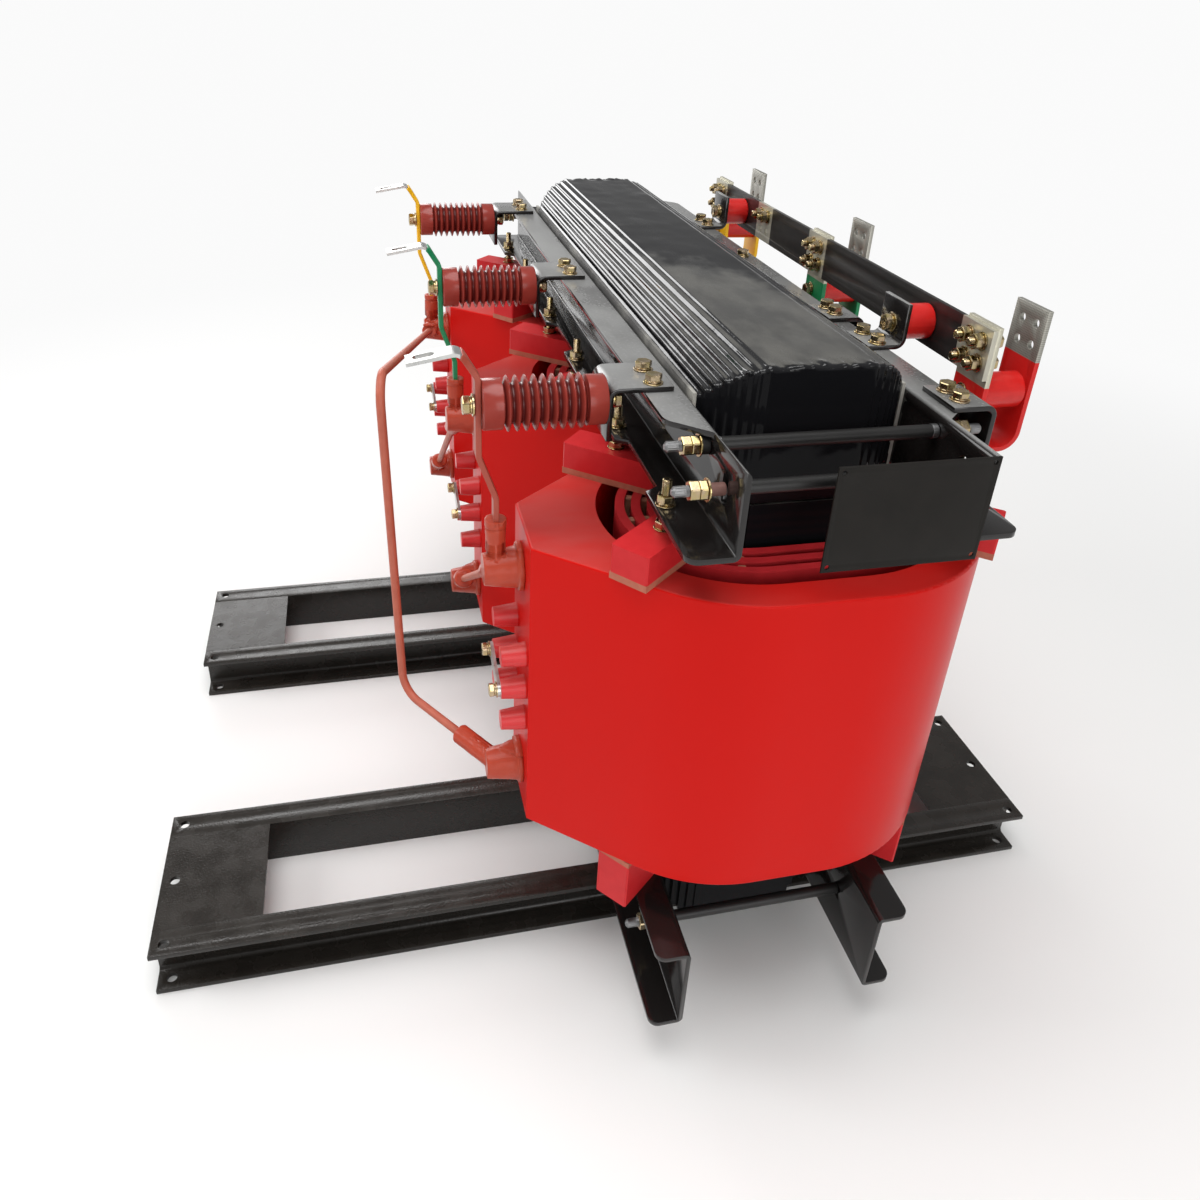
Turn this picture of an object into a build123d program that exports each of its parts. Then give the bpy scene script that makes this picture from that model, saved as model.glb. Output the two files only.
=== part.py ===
"""Three-phase cast-resin dry-type transformer on two channel-iron bases.

Millimetres, +Z up. The origin is on the floor, under the middle of the bases. X runs along the
row of three limbs, -Y is the high-voltage side and +Y the low-voltage side.
"""

import os
from math import acos, atan2, cos, degrees, hypot, isclose, radians, sin

from build123d import *

# Limbs, phases and the two sides
LIMB_PITCH = 430.0
PHASES = {"a": -1, "b": 0, "c": 1}
SIDES = {"hv": -1, "lv": 1}
ENDS = {"left": -1, "right": 1}

# Channel-iron bases
BASE_PITCH = 622.0
BASE_WIDTH = 244.0
BASE_HV_REACH = 790.0
BASE_LV_REACH = 526.0
RAIL_HEIGHT = 76.0
RAIL_FLANGE = 40.0
RAIL_WEB_THICK = 5.0
RAIL_FLANGE_THICK = 7.0
RAIL_ROOT_RADIUS = 6.0
END_PLATE_LENGTH = 143.0
END_PLATE_THICK = 6.0
ANCHOR_HOLE = 14.0
ANCHOR_FROM_END = 18.0

# Stepped core: packets of sheet inscribed in an oval
OVAL_HALF = 48.0
CORE_RADIUS = 80.0
CORE_STEPS = 8
CORE_FIRST_ANGLE = 10.0
CORE_LAST_ANGLE = 64.0
CORE_LIFT = 3.0
STRIP_THICK = 4.0
STRIP_PROUD = 6.0

# Folded clamp channels
CLAMP_THICK = 6.0
CLAMP_BEND = 5.0
LOWER_CLAMP_HEIGHT = 130.0
LOWER_CLAMP_FLANGE = 43.0
LOWER_CLAMP_OVERHANG = 146.0
LOWER_CORNER_RADIUS = 13.0
UPPER_CLAMP_HEIGHT = 95.0
UPPER_CLAMP_OVERHANG = 128.0
UPPER_TOP_FLANGE = 46.0
UPPER_TOP_SETBACK = 88.0
UPPER_TOP_SPLAY = 36.0
UPPER_TOP_CORNER = 20.0
UPPER_BOTTOM_FLANGE = 54.0
UPPER_BOTTOM_CORNER = 14.0
FLANGE_NOTCH_WIDTH = 116.0
FLANGE_NOTCH_DEPTH = 15.0
FLANGE_NOTCH_SLOPE = 10.0
YOKE_ABOVE_CLAMP_FOOT = 64.0

# Windings
COIL_HEIGHT = 405.0
LV_CLEARANCE = 9.0
LV_LAYER = 11.0
LV_DUCT = 8.0
LV_LAYERS = 3
MAIN_GAP = 23.0
HV_THICK = 40.0
NOSE_DEPTH = 48.0
NOSE_WIDTH = 104.0
COIL_EDGE_RADIUS = 3.0
TAP_PITCH_X = 60.0
TAP_PITCH_Z = 48.0
TAP_STAGGER = 15.0
TAP_ROWS = 3
TAP_ABOVE_MIDDLE = 3.5
TAP_BASE = 30.0
TAP_LENGTH = 30.0
TAP_TAPER = 6.0

# Resin blocks on rubber pads hold the windings between the clamps
BLOCK_ANGLE = 50.0
BLOCK_WIDTH = 46.0
PAD_THICK = 8.0
PAD_INNER_RADIUS = 91.0
LOWER_BLOCK_HEIGHT = 70.0
LOWER_BLOCK_INNER = 110.0
LOWER_BLOCK_OUTER = 200.0
UPPER_BLOCK_HEIGHT = 33.0
UPPER_BLOCK_OUTER = 215.0
BLOCK_EDGE = 2.0
PRESS_GAP = 22.0
PRESS_STUD = 10.0
PRESS_NUT_ACROSS = 17.0
PRESS_NUT_HEIGHT = 8.0
PRESS_RADIUS = 154.0
PRESS_STUD_ABOVE_FLANGE = 32.0

# Tie rods
ROD = 12.0
ROD_HOLE_CLEARANCE = 1.0
NUT_ACROSS = 19.0
NUT_HEIGHT = 10.0
ROD_BUSH = 20.0
ROD_BUSH_LENGTH = 9.0
SLOT_BUSH_LENGTH = 17.0
ROD_BEYOND_NUTS = 17.0
ROD_END_RADIUS = 4.0
UPPER_ROD_BEYOND_YOKE = 27.0
UPPER_ROD_BELOW_TOP = 19.0
SLOT_ROD_BEYOND_YOKE = 82.0
SLOT_ROD_BELOW_TOP = 40.0
WEB_SLOT_LENGTH = 36.0
LOWER_ROD_BEYOND_YOKE = 45.0
LOWER_ROD_ABOVE_FOOT = 70.0

# High-voltage terminals
BRACKET_THICK = 6.0
BRACKET_BEND = 10.0
HV_BRACKET_WIDTH = 76.0
HV_BRACKET_SHIFT = -24.0
HV_BRACKET_DROP = 58.0
HV_FOOT_MARGIN = 8.0
HV_SEAT = 210.0
INSULATOR_LENGTH = 132.0
INSULATOR_DIAMETER = 60.0
INSULATOR_CORE = 43.0
INSULATOR_CAP = 22.0
INSULATOR_SHEDS = 9
SHED_TIP = 3.0
INSULATOR_BELOW_CLAMP_TOP = 12.0
LUG_WIDTH = 25.0
LEAD_WIDTH = 14.0
LEAD_THICK = 4.0
LEAD_SHIFT = -6.0
LEAD_STANDOFF = 1.5
LEAD_BEND = 12.0
LUG_LENGTH = 54.0
LUG_SLOPE = 10.0
LUG_RISE = 60.0
LUG_SHOULDER = 18.0
LUG_SLOT_LENGTH = 22.0
LUG_SLOT_WIDTH = 11.0
LUG_SLOT_FROM_END = 18.0

# Rubber boots and the rods that join the phases in delta
TOP_BOOT_BELOW_TOP = 59.0
BOTTOM_BOOT_ABOVE_FOOT = 58.0
BOTTOM_BOOT_SHIFT = 5.0
BOOT_BASE = 52.0
BOOT_LENGTH = 45.0
BOOT_TAPER = 9.0
BOOT_NECK_REACH = 30.0
BOOT_RIM = 57.0
BOOT_RIM_THICK = 6.0
LEAD_NECK = 21.0
LEAD_NECK_LENGTH = 66.0
LEAD_TAIL = 28.0
NECK_COLLAR = 4.0
NECK_COLLAR_LENGTH = 9.0
LINK = 11.0
LINK_NECK = 26.0
LINK_NECK_LENGTH = 72.0
LONG_LINK_X = 282.0
LONG_LINK_OUT = 139.0
LONG_LINK_LEAN = 7.0
LONG_LINK_LOW = 66.0
LONG_LINK_HIGH = 126.0
LONG_LINK_BEND = 32.0
TAP_LINK_WIDTH = 18.0
TAP_LINK_THICK = 4.0

# Low-voltage bars
BAR_WIDTH = 60.0
BAR_THICK = 6.0
BAR_BEND = 14.0
PHASE_BAR_BEND = 22.0
PHASE_BAR_SHIFT = -29.0
PHASE_BAR_OUT = 314.0
PHASE_BAR_TOP_ABOVE_CLAMP = 71.0
PHASE_RUN_BELOW_FOOT = 7.0
TERMINAL_HOLE = 11.0
TERMINAL_PITCH = 26.0
TERMINAL_FROM_TOP = 19.0
NEUTRAL_SHIFT = -12.0
NEUTRAL_OUT = 241.0
NEUTRAL_TOP_ABOVE_CLAMP = 59.0
NEUTRAL_RUN_ABOVE_FOOT = 26.0
NEUTRAL_RISER_GAP = 3.0
BUS_BELOW_NEUTRAL_TOP = 3.0
STANDOFF = 44.0
STANDOFF_CHAMFER = 2.0
PHASE_STANDOFF_SHIFT = -22.0
PHASE_STANDOFF_BELOW_TOP = 32.0
NEUTRAL_STANDOFF_LENGTH = 42.0
NEUTRAL_SUPPORT_PITCH = 632.0
NEUTRAL_SUPPORT_WIDTH = 58.0
LV_BRACKET_PLACES = (205.0, 505.0)
LV_BRACKET_WIDTH = 64.0
LV_BRACKET_OUT = 190.0
LV_BRACKET_DROP = 52.0
LV_FOOT_MARGIN = 10.0

# Bare plate on the end of the low-voltage clamp
PLATE_WIDTH = 170.0
PLATE_THICK = 2.0
PLATE_HOLE = 5.0
PLATE_HOLE_MARGIN = 6.0

# Places that follow from the sizes above
BASE_LENGTH = BASE_HV_REACH + BASE_LV_REACH
CORE_Y = (BASE_HV_REACH - BASE_LV_REACH) / 2
END_PLATE_WIDTH = BASE_WIDTH - 2 * RAIL_FLANGE
STEP_ANGLES = [
    radians(CORE_FIRST_ANGLE + (CORE_LAST_ANGLE - CORE_FIRST_ANGLE) * step / (CORE_STEPS - 1))
    for step in range(CORE_STEPS)
]
STEP_DEPTHS = [OVAL_HALF + CORE_RADIUS * sin(angle) for angle in STEP_ANGLES]
STEP_HALVES = [CORE_RADIUS * cos(angle) for angle in STEP_ANGLES]
YOKE_END = LIMB_PITCH + CORE_RADIUS
CLAMP_INNER = STEP_DEPTHS[-1] + STRIP_THICK
CLAMP_OUTER = CLAMP_INNER + CLAMP_THICK
LOWER_CLAMP_LENGTH = 2 * (YOKE_END + LOWER_CLAMP_OVERHANG)
UPPER_CLAMP_LENGTH = 2 * (YOKE_END + UPPER_CLAMP_OVERHANG)
UPPER_TOP_LENGTH = UPPER_CLAMP_LENGTH - 2 * UPPER_TOP_SETBACK
UPPER_ROD_PITCH = 2 * (YOKE_END + UPPER_ROD_BEYOND_YOKE)
SLOT_ROD_PITCH = 2 * (YOKE_END + SLOT_ROD_BEYOND_YOKE)
LOWER_ROD_PITCH = 2 * (YOKE_END + LOWER_ROD_BEYOND_YOKE)
LOWER_YOKE_Z = RAIL_HEIGHT + CORE_LIFT + STEP_HALVES[0]
LOWER_CLAMP_TOP = RAIL_HEIGHT + LOWER_CLAMP_HEIGHT
COIL_BOTTOM = LOWER_CLAMP_TOP + LOWER_BLOCK_HEIGHT + PAD_THICK
COIL_TOP = COIL_BOTTOM + COIL_HEIGHT
UPPER_BLOCK_TOP = COIL_TOP + PAD_THICK + UPPER_BLOCK_HEIGHT
UPPER_CLAMP_FOOT = UPPER_BLOCK_TOP + PRESS_GAP
UPPER_CLAMP_TOP = UPPER_CLAMP_FOOT + UPPER_CLAMP_HEIGHT
UPPER_YOKE_Z = UPPER_CLAMP_FOOT + YOKE_ABOVE_CLAMP_FOOT
LV_INNER = CORE_RADIUS + LV_CLEARANCE
LV_OUTER = LV_INNER + LV_LAYERS * LV_LAYER + (LV_LAYERS - 1) * LV_DUCT
HV_INNER = LV_OUTER + MAIN_GAP
HV_OUTER = HV_INNER + HV_THICK
NOSE_REACH = OVAL_HALF + HV_OUTER + NOSE_DEPTH
INSULATOR_Z = UPPER_CLAMP_TOP - INSULATOR_BELOW_CLAMP_TOP
INSULATOR_REACH = HV_SEAT + INSULATOR_LENGTH
BOOT_REACH = NOSE_REACH + BOOT_NECK_REACH
TOP_BOOT_Z = COIL_TOP - TOP_BOOT_BELOW_TOP
BOTTOM_BOOT_Z = COIL_BOTTOM + BOTTOM_BOOT_ABOVE_FOOT
TAP_MIDDLE_Z = COIL_BOTTOM + COIL_HEIGHT / 2 + TAP_ABOVE_MIDDLE
PHASE_BAR_TOP = UPPER_CLAMP_TOP + PHASE_BAR_TOP_ABOVE_CLAMP
NEUTRAL_TOP = UPPER_CLAMP_TOP + NEUTRAL_TOP_ABOVE_CLAMP
STANDOFF_Z = UPPER_CLAMP_TOP - PHASE_STANDOFF_BELOW_TOP
PHASE_RISER = OVAL_HALF + LV_OUTER - BAR_THICK / 2
NEUTRAL_RISER = CLAMP_INNER + UPPER_BOTTOM_FLANGE - FLANGE_NOTCH_DEPTH + NEUTRAL_RISER_GAP + BAR_THICK / 2
BUS_FACE = NEUTRAL_OUT - BAR_THICK / 2
BUS_TOP = NEUTRAL_TOP - BUS_BELOW_NEUTRAL_TOP


def level(z, x=0.0, y=0.0):
    """Horizontal plane at height z, its origin over the core's axis."""
    return Plane(origin=(x, CORE_Y + y, z))


def facing(y, x=0.0, z=0.0):
    """Upright plane along the row of limbs, seen from the high-voltage side; its normal is -Y."""
    return Plane(origin=(x, CORE_Y + y, z), x_dir=(1, 0, 0), z_dir=(0, -1, 0))


def section(x, z=0.0):
    """Upright plane across the row of limbs: local x is +Y, local y is +Z, the normal is +X."""
    return Plane(origin=(x, CORE_Y, z), x_dir=(0, 1, 0), z_dir=(1, 0, 0))


def save(builder, label):
    """Name a finished piece and write its STEP file."""
    builder.part.label = label
    export_step(builder.part, f"parts/{label}.step")


def stepped_oval(depth_along_x):
    """Closed outline of the core's packets: a stepped oval about the sketch's origin."""
    quarter = []
    for depth, half, last in zip(STEP_DEPTHS, STEP_HALVES, [0.0, *STEP_DEPTHS]):
        quarter += [(last, half), (depth, half)]
    quarter = quarter[1:]
    if not depth_along_x:
        quarter = [(half, depth) for depth, half in reversed(quarter)]
    right = quarter + [(x, -y) for x, y in reversed(quarter)]
    outline = right + [(-x, y) for x, y in reversed(right)]
    Polyline(*outline, close=True)


def channel_profile(way, foot, head, foot_flange, head_flange):
    """Folded C-channel: an upright web beside the core with both flanges turned outwards."""
    middle = CLAMP_INNER + CLAMP_THICK / 2
    FilletPolyline(
        (way * (CLAMP_INNER + foot_flange), foot + CLAMP_THICK / 2),
        (way * middle, foot + CLAMP_THICK / 2),
        (way * middle, head - CLAMP_THICK / 2),
        (way * (CLAMP_INNER + head_flange), head - CLAMP_THICK / 2),
        radius=CLAMP_BEND,
    )


def radial_places(radius):
    """Sketch places on the four radial lines of each coil where its blocks and studs lie."""
    angle = radians(BLOCK_ANGLE)
    places = []
    for phase in PHASES.values():
        for side in SIDES.values():
            for way in (-1, 1):
                across = phase * LIMB_PITCH + way * radius * cos(angle)
                along = side * (OVAL_HALF + radius * sin(angle))
                turn = degrees(atan2(side * sin(angle), way * cos(angle)))
                places.append(Location((across, along), (0, 0, turn)))
    return places


def radial_bars(inner, outer, foot):
    """Outlines of straight blocks lying on those radial lines, between two radii."""
    with BuildSketch(level(foot)) as bars:
        with Locations(*radial_places((inner + outer) / 2)):
            Rectangle(outer - inner, BLOCK_WIDTH)
    return bars.sketch


os.makedirs("parts", exist_ok=True)

# Bases: in each, two channels back to back with flush plates welded between their ends
anchor_y = BASE_LENGTH / 2 - ANCHOR_FROM_END
for end_name, end in ENDS.items():
    for rail_name, way in (("inner", -end), ("outer", end)):
        web_x = end * BASE_PITCH / 2 + way * END_PLATE_WIDTH / 2
        with BuildPart() as rail:
            with BuildSketch(Plane.XZ.offset(BASE_LENGTH / 2)) as profile:
                with BuildLine():
                    Polyline(
                        (web_x, 0),
                        (web_x + way * RAIL_FLANGE, 0),
                        (web_x + way * RAIL_FLANGE, RAIL_FLANGE_THICK),
                        (web_x + way * RAIL_WEB_THICK, RAIL_FLANGE_THICK),
                        (web_x + way * RAIL_WEB_THICK, RAIL_HEIGHT - RAIL_FLANGE_THICK),
                        (web_x + way * RAIL_FLANGE, RAIL_HEIGHT - RAIL_FLANGE_THICK),
                        (web_x + way * RAIL_FLANGE, RAIL_HEIGHT),
                        (web_x, RAIL_HEIGHT),
                        close=True,
                    )
                make_face()
                root_x = web_x + way * RAIL_WEB_THICK
                fillet([v for v in profile.vertices() if isclose(v.X, root_x)], RAIL_ROOT_RADIUS)
            extrude(amount=-BASE_LENGTH)
            flange_x = web_x + way * (RAIL_WEB_THICK + RAIL_FLANGE) / 2
            with Locations((flange_x, -anchor_y, RAIL_HEIGHT), (flange_x, anchor_y, RAIL_HEIGHT)):
                Hole(ANCHOR_HOLE / 2)
        save(rail, f"base_{end_name}_{rail_name}_rail")

with BuildPart() as end_plates:
    with BuildSketch(Plane.XY.offset(RAIL_HEIGHT - END_PLATE_THICK)):
        with GridLocations(BASE_PITCH, BASE_LENGTH - END_PLATE_LENGTH, 2, 2):
            Rectangle(END_PLATE_WIDTH, END_PLATE_LENGTH)
        with GridLocations(BASE_PITCH, 2 * anchor_y, 2, 2):
            Circle(ANCHOR_HOLE / 2, mode=Mode.SUBTRACT)
    extrude(amount=END_PLATE_THICK)
save(end_plates, "base_end_plates")

# Lower clamps stand on the bases and hold the lower yoke between their webs
LOWER_ROD_Z = RAIL_HEIGHT + LOWER_ROD_ABOVE_FOOT
for side_name, way in SIDES.items():
    with BuildPart() as lower_clamp:
        with BuildSketch(section(-LOWER_CLAMP_LENGTH / 2)):
            with BuildLine():
                channel_profile(
                    way, RAIL_HEIGHT, LOWER_CLAMP_TOP, LOWER_CLAMP_FLANGE, LOWER_CLAMP_FLANGE
                )
            trace(line_width=CLAMP_THICK)
        extrude(amount=LOWER_CLAMP_LENGTH)
        tip_y = CORE_Y + way * (CLAMP_INNER + LOWER_CLAMP_FLANGE)
        tips = [e for e in lower_clamp.edges().filter_by(Axis.Z) if isclose(e.center().Y, tip_y)]
        fillet(tips, LOWER_CORNER_RADIUS)
        with BuildSketch(facing(way * CLAMP_INNER)):
            with Locations((-LOWER_ROD_PITCH / 2, LOWER_ROD_Z), (LOWER_ROD_PITCH / 2, LOWER_ROD_Z)):
                Circle(ROD / 2 + ROD_HOLE_CLEARANCE)
        extrude(amount=2 * CLAMP_THICK, both=True, mode=Mode.SUBTRACT)
    save(lower_clamp, f"lower_clamp_{side_name}")

# Core: two stepped yokes and three stepped limbs between them
for yoke_name, yoke_z in (("lower", LOWER_YOKE_Z), ("upper", UPPER_YOKE_Z)):
    with BuildPart() as yoke:
        with BuildSketch(section(0, yoke_z)):
            with BuildLine():
                stepped_oval(depth_along_x=True)
            make_face()
        extrude(amount=LIMB_PITCH + CORE_RADIUS, both=True)
        with BuildSketch(level(yoke_z)):
            Rectangle(2 * LIMB_PITCH, 2 * STEP_DEPTHS[-1])
            for way in (-1, 1):
                with BuildSketch(Plane.XY, mode=Mode.PRIVATE) as limb_end:
                    with BuildLine():
                        stepped_oval(depth_along_x=False)
                    make_face()
                with Locations((way * LIMB_PITCH, 0)):
                    add(limb_end.sketch)
        extrude(amount=CORE_RADIUS, both=True, mode=Mode.INTERSECT)
    save(yoke, f"{yoke_name}_yoke")

with BuildPart() as core_limbs:
    for place in PHASES.values():
        with BuildSketch(level(LOWER_YOKE_Z, place * LIMB_PITCH)):
            with BuildLine():
                stepped_oval(depth_along_x=False)
            make_face()
        extrude(amount=UPPER_YOKE_Z - LOWER_YOKE_Z)
    for yoke_z in (LOWER_YOKE_Z, UPPER_YOKE_Z):
        with BuildSketch(section(0, yoke_z)):
            with BuildLine():
                stepped_oval(depth_along_x=True)
            make_face()
        extrude(amount=LIMB_PITCH + CORE_RADIUS, both=True, mode=Mode.SUBTRACT)
save(core_limbs, "core_limbs")

# Insulating strips between the yokes and the clamp webs
strip_y = STEP_DEPTHS[-1] + STRIP_THICK / 2
strip_length = 2 * (LIMB_PITCH + STEP_HALVES[-1])
with BuildPart() as core_strips:
    for foot, head in (
        (RAIL_HEIGHT, LOWER_CLAMP_TOP),
        (UPPER_CLAMP_FOOT, UPPER_CLAMP_TOP + STRIP_PROUD),
    ):
        with BuildSketch(section(-strip_length / 2, (foot + head) / 2)):
            with Locations((-strip_y, 0), (strip_y, 0)):
                Rectangle(STRIP_THICK, head - foot)
        extrude(amount=strip_length)
save(core_strips, "core_strips")

# Windings: an oval cast coil with a flat terminal nose round three concentric foil layers
nose_turn = atan2(NOSE_REACH - OVAL_HALF, NOSE_WIDTH / 2)
flank_turn = nose_turn - acos(HV_OUTER / hypot(NOSE_WIDTH / 2, NOSE_REACH - OVAL_HALF))
flank_x = HV_OUTER * cos(flank_turn)
flank_y = -OVAL_HALF - HV_OUTER * sin(flank_turn)
tap_places = []
for row in range(TAP_ROWS):
    row_z = TAP_MIDDLE_Z + (row - (TAP_ROWS - 1) / 2) * TAP_PITCH_Z
    tap_places.append((-TAP_PITCH_X / 2, row_z + TAP_STAGGER / 2))
    tap_places.append((TAP_PITCH_X / 2, row_z - TAP_STAGGER / 2))
for phase_name, place in PHASES.items():
    limb_x = place * LIMB_PITCH
    with BuildPart() as hv_coil:
        with BuildSketch(level(COIL_BOTTOM, limb_x)):
            SlotCenterToCenter(2 * OVAL_HALF, 2 * HV_OUTER, rotation=90)
            Polygon(
                (-NOSE_WIDTH / 2, -NOSE_REACH),
                (NOSE_WIDTH / 2, -NOSE_REACH),
                (flank_x, flank_y),
                (-flank_x, flank_y),
                align=None,
            )
        extrude(amount=COIL_HEIGHT)
        rims = hv_coil.faces().filter_by(Axis.Z).edges()
        fillet(rims, COIL_EDGE_RADIUS)
        with BuildSketch(level(COIL_BOTTOM, limb_x)):
            SlotCenterToCenter(2 * OVAL_HALF, 2 * HV_INNER, rotation=90)
        extrude(amount=COIL_HEIGHT, mode=Mode.SUBTRACT)
        with BuildSketch(facing(-NOSE_REACH, limb_x)):
            with Locations(*tap_places):
                Circle(TAP_BASE / 2)
        extrude(amount=TAP_LENGTH, taper=TAP_TAPER)
    save(hv_coil, f"hv_coil_{phase_name}")

    with BuildPart() as lv_coil:
        with BuildSketch(level(COIL_BOTTOM, limb_x)):
            for layer in reversed(range(LV_LAYERS)):
                inner = LV_INNER + layer * (LV_LAYER + LV_DUCT)
                SlotCenterToCenter(2 * OVAL_HALF, 2 * (inner + LV_LAYER), rotation=90)
                SlotCenterToCenter(2 * OVAL_HALF, 2 * inner, rotation=90, mode=Mode.SUBTRACT)
        extrude(amount=COIL_HEIGHT)
    save(lv_coil, f"lv_coil_{phase_name}")

# Blocks and pads under and over the windings, and the studs that press them down
with BuildPart() as lower_blocks:
    lower_bars = radial_bars(LOWER_BLOCK_INNER, LOWER_BLOCK_OUTER, LOWER_CLAMP_TOP)
    extrude(lower_bars, amount=LOWER_BLOCK_HEIGHT)
    chamfer(lower_blocks.edges().filter_by(Axis.Z), BLOCK_EDGE)
save(lower_blocks, "lower_blocks")

with BuildPart() as lower_pads:
    extrude(radial_bars(PAD_INNER_RADIUS, LOWER_BLOCK_OUTER, COIL_BOTTOM), amount=-PAD_THICK)
save(lower_pads, "lower_pads")

with BuildPart() as upper_pads:
    extrude(radial_bars(PAD_INNER_RADIUS, UPPER_BLOCK_OUTER, COIL_TOP), amount=PAD_THICK)
save(upper_pads, "upper_pads")

with BuildPart() as upper_blocks:
    upper_bars = radial_bars(PAD_INNER_RADIUS, UPPER_BLOCK_OUTER, COIL_TOP + PAD_THICK)
    extrude(upper_bars, amount=UPPER_BLOCK_HEIGHT)
    chamfer(upper_blocks.edges().filter_by(Axis.Z), BLOCK_EDGE)
save(upper_blocks, "upper_blocks")

with BuildPart() as press_studs:
    with BuildSketch(level(UPPER_BLOCK_TOP)):
        with Locations(*radial_places(PRESS_RADIUS)):
            Circle(PRESS_STUD / 2)
    extrude(amount=PRESS_GAP + CLAMP_THICK + PRESS_STUD_ABOVE_FLANGE)
    for nut_foot in (UPPER_BLOCK_TOP, UPPER_CLAMP_FOOT + CLAMP_THICK):
        with BuildSketch(level(nut_foot)):
            with Locations(*radial_places(PRESS_RADIUS)):
                RegularPolygon(PRESS_NUT_ACROSS / 2, 6, major_radius=False)
        extrude(amount=PRESS_NUT_HEIGHT)
save(press_studs, "press_studs")

# Upper clamps: the top flange stops short of the web, the bottom one is notched at the limbs
UPPER_ROD_Z = UPPER_CLAMP_TOP - UPPER_ROD_BELOW_TOP
SLOT_ROD_Z = UPPER_CLAMP_TOP - SLOT_ROD_BELOW_TOP
for side_name, way in SIDES.items():
    with BuildPart() as upper_clamp:
        with BuildSketch(section(-UPPER_CLAMP_LENGTH / 2)):
            with BuildLine():
                channel_profile(
                    way, UPPER_CLAMP_FOOT, UPPER_CLAMP_TOP, UPPER_BOTTOM_FLANGE, UPPER_TOP_FLANGE
                )
            trace(line_width=CLAMP_THICK)
        extrude(amount=UPPER_CLAMP_LENGTH)
        top_tip = CLAMP_INNER + UPPER_TOP_FLANGE
        with BuildSketch(level(UPPER_CLAMP_TOP)):
            for end in ENDS.values():
                Polygon(
                    (end * UPPER_TOP_LENGTH / 2, way * CLAMP_OUTER),
                    (end * UPPER_CLAMP_LENGTH / 2, way * CLAMP_OUTER),
                    (end * UPPER_CLAMP_LENGTH / 2, way * top_tip),
                    (end * (UPPER_TOP_LENGTH / 2 - UPPER_TOP_SPLAY), way * top_tip),
                    align=None,
                )
        extrude(amount=-UPPER_CLAMP_HEIGHT / 2, mode=Mode.SUBTRACT)
        foot_tip = CLAMP_INNER + UPPER_BOTTOM_FLANGE
        notch_foot = foot_tip - FLANGE_NOTCH_DEPTH
        with BuildSketch(level(UPPER_CLAMP_FOOT)):
            for place in PHASES.values():
                notch_half = FLANGE_NOTCH_WIDTH / 2
                mouth_half = notch_half + FLANGE_NOTCH_SLOPE
                limb_x = place * LIMB_PITCH
                Polygon(
                    (limb_x - notch_half, way * notch_foot),
                    (limb_x + notch_half, way * notch_foot),
                    (limb_x + mouth_half, way * foot_tip),
                    (limb_x - mouth_half, way * foot_tip),
                    align=None,
                )
            with Locations(*radial_places(PRESS_RADIUS)):
                Circle(PRESS_STUD / 2 + ROD_HOLE_CLEARANCE)
        extrude(amount=2 * CLAMP_THICK, mode=Mode.SUBTRACT)
        with BuildSketch(facing(way * CLAMP_INNER)):
            with Locations((-UPPER_ROD_PITCH / 2, UPPER_ROD_Z), (UPPER_ROD_PITCH / 2, UPPER_ROD_Z)):
                Circle(ROD / 2 + ROD_HOLE_CLEARANCE)
            with Locations((-SLOT_ROD_PITCH / 2, SLOT_ROD_Z), (SLOT_ROD_PITCH / 2, SLOT_ROD_Z)):
                SlotOverall(WEB_SLOT_LENGTH, ROD + 2 * ROD_HOLE_CLEARANCE, rotation=90)
        extrude(amount=2 * CLAMP_THICK, both=True, mode=Mode.SUBTRACT)
        upright = upper_clamp.edges().filter_by(Axis.Z)
        top_tip_y = CORE_Y + way * top_tip
        fillet([e for e in upright if isclose(e.center().Y, top_tip_y)], UPPER_TOP_CORNER)
        upright = upper_clamp.edges().filter_by(Axis.Z)
        foot_tip_y = CORE_Y + way * foot_tip
        ends = [
            e
            for e in upright
            if isclose(e.center().Y, foot_tip_y)
            and isclose(abs(e.center().X), UPPER_CLAMP_LENGTH / 2)
        ]
        fillet(ends, UPPER_BOTTOM_CORNER)
    save(upper_clamp, f"upper_clamp_{side_name}")

# Tie rods across the core, each nutted outside both webs over an insulating bush
lower_rods = [(end * LOWER_ROD_PITCH / 2, LOWER_ROD_Z) for end in ENDS.values()]
upper_rods = [(end * UPPER_ROD_PITCH / 2, UPPER_ROD_Z) for end in ENDS.values()]
slot_rods = [(end * SLOT_ROD_PITCH / 2, SLOT_ROD_Z) for end in ENDS.values()]
for label, places, bush_length in (
    ("lower_tie_rods", lower_rods, ROD_BUSH_LENGTH),
    ("upper_tie_rods", upper_rods, ROD_BUSH_LENGTH),
    ("slot_tie_rods", slot_rods, SLOT_BUSH_LENGTH),
):
    rod_reach = CLAMP_OUTER + bush_length + 2 * NUT_HEIGHT + ROD_BEYOND_NUTS
    with BuildPart() as tie_rods:
        with BuildSketch(facing(rod_reach)):
            with Locations(*places):
                Circle(ROD / 2)
        extrude(amount=2 * rod_reach)
        fillet(tie_rods.edges().filter_by(GeomType.CIRCLE), ROD_END_RADIUS)
        for way in (-1, 1):
            with BuildSketch(facing(way * CLAMP_OUTER)):
                with Locations(*places):
                    Circle(ROD_BUSH / 2)
            extrude(amount=-way * bush_length)
            with BuildSketch(facing(way * (CLAMP_OUTER + bush_length))):
                with Locations(*places):
                    RegularPolygon(NUT_ACROSS / 2, 6, major_radius=False)
            extrude(amount=-way * 2 * NUT_HEIGHT)
    save(tie_rods, label)

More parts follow.
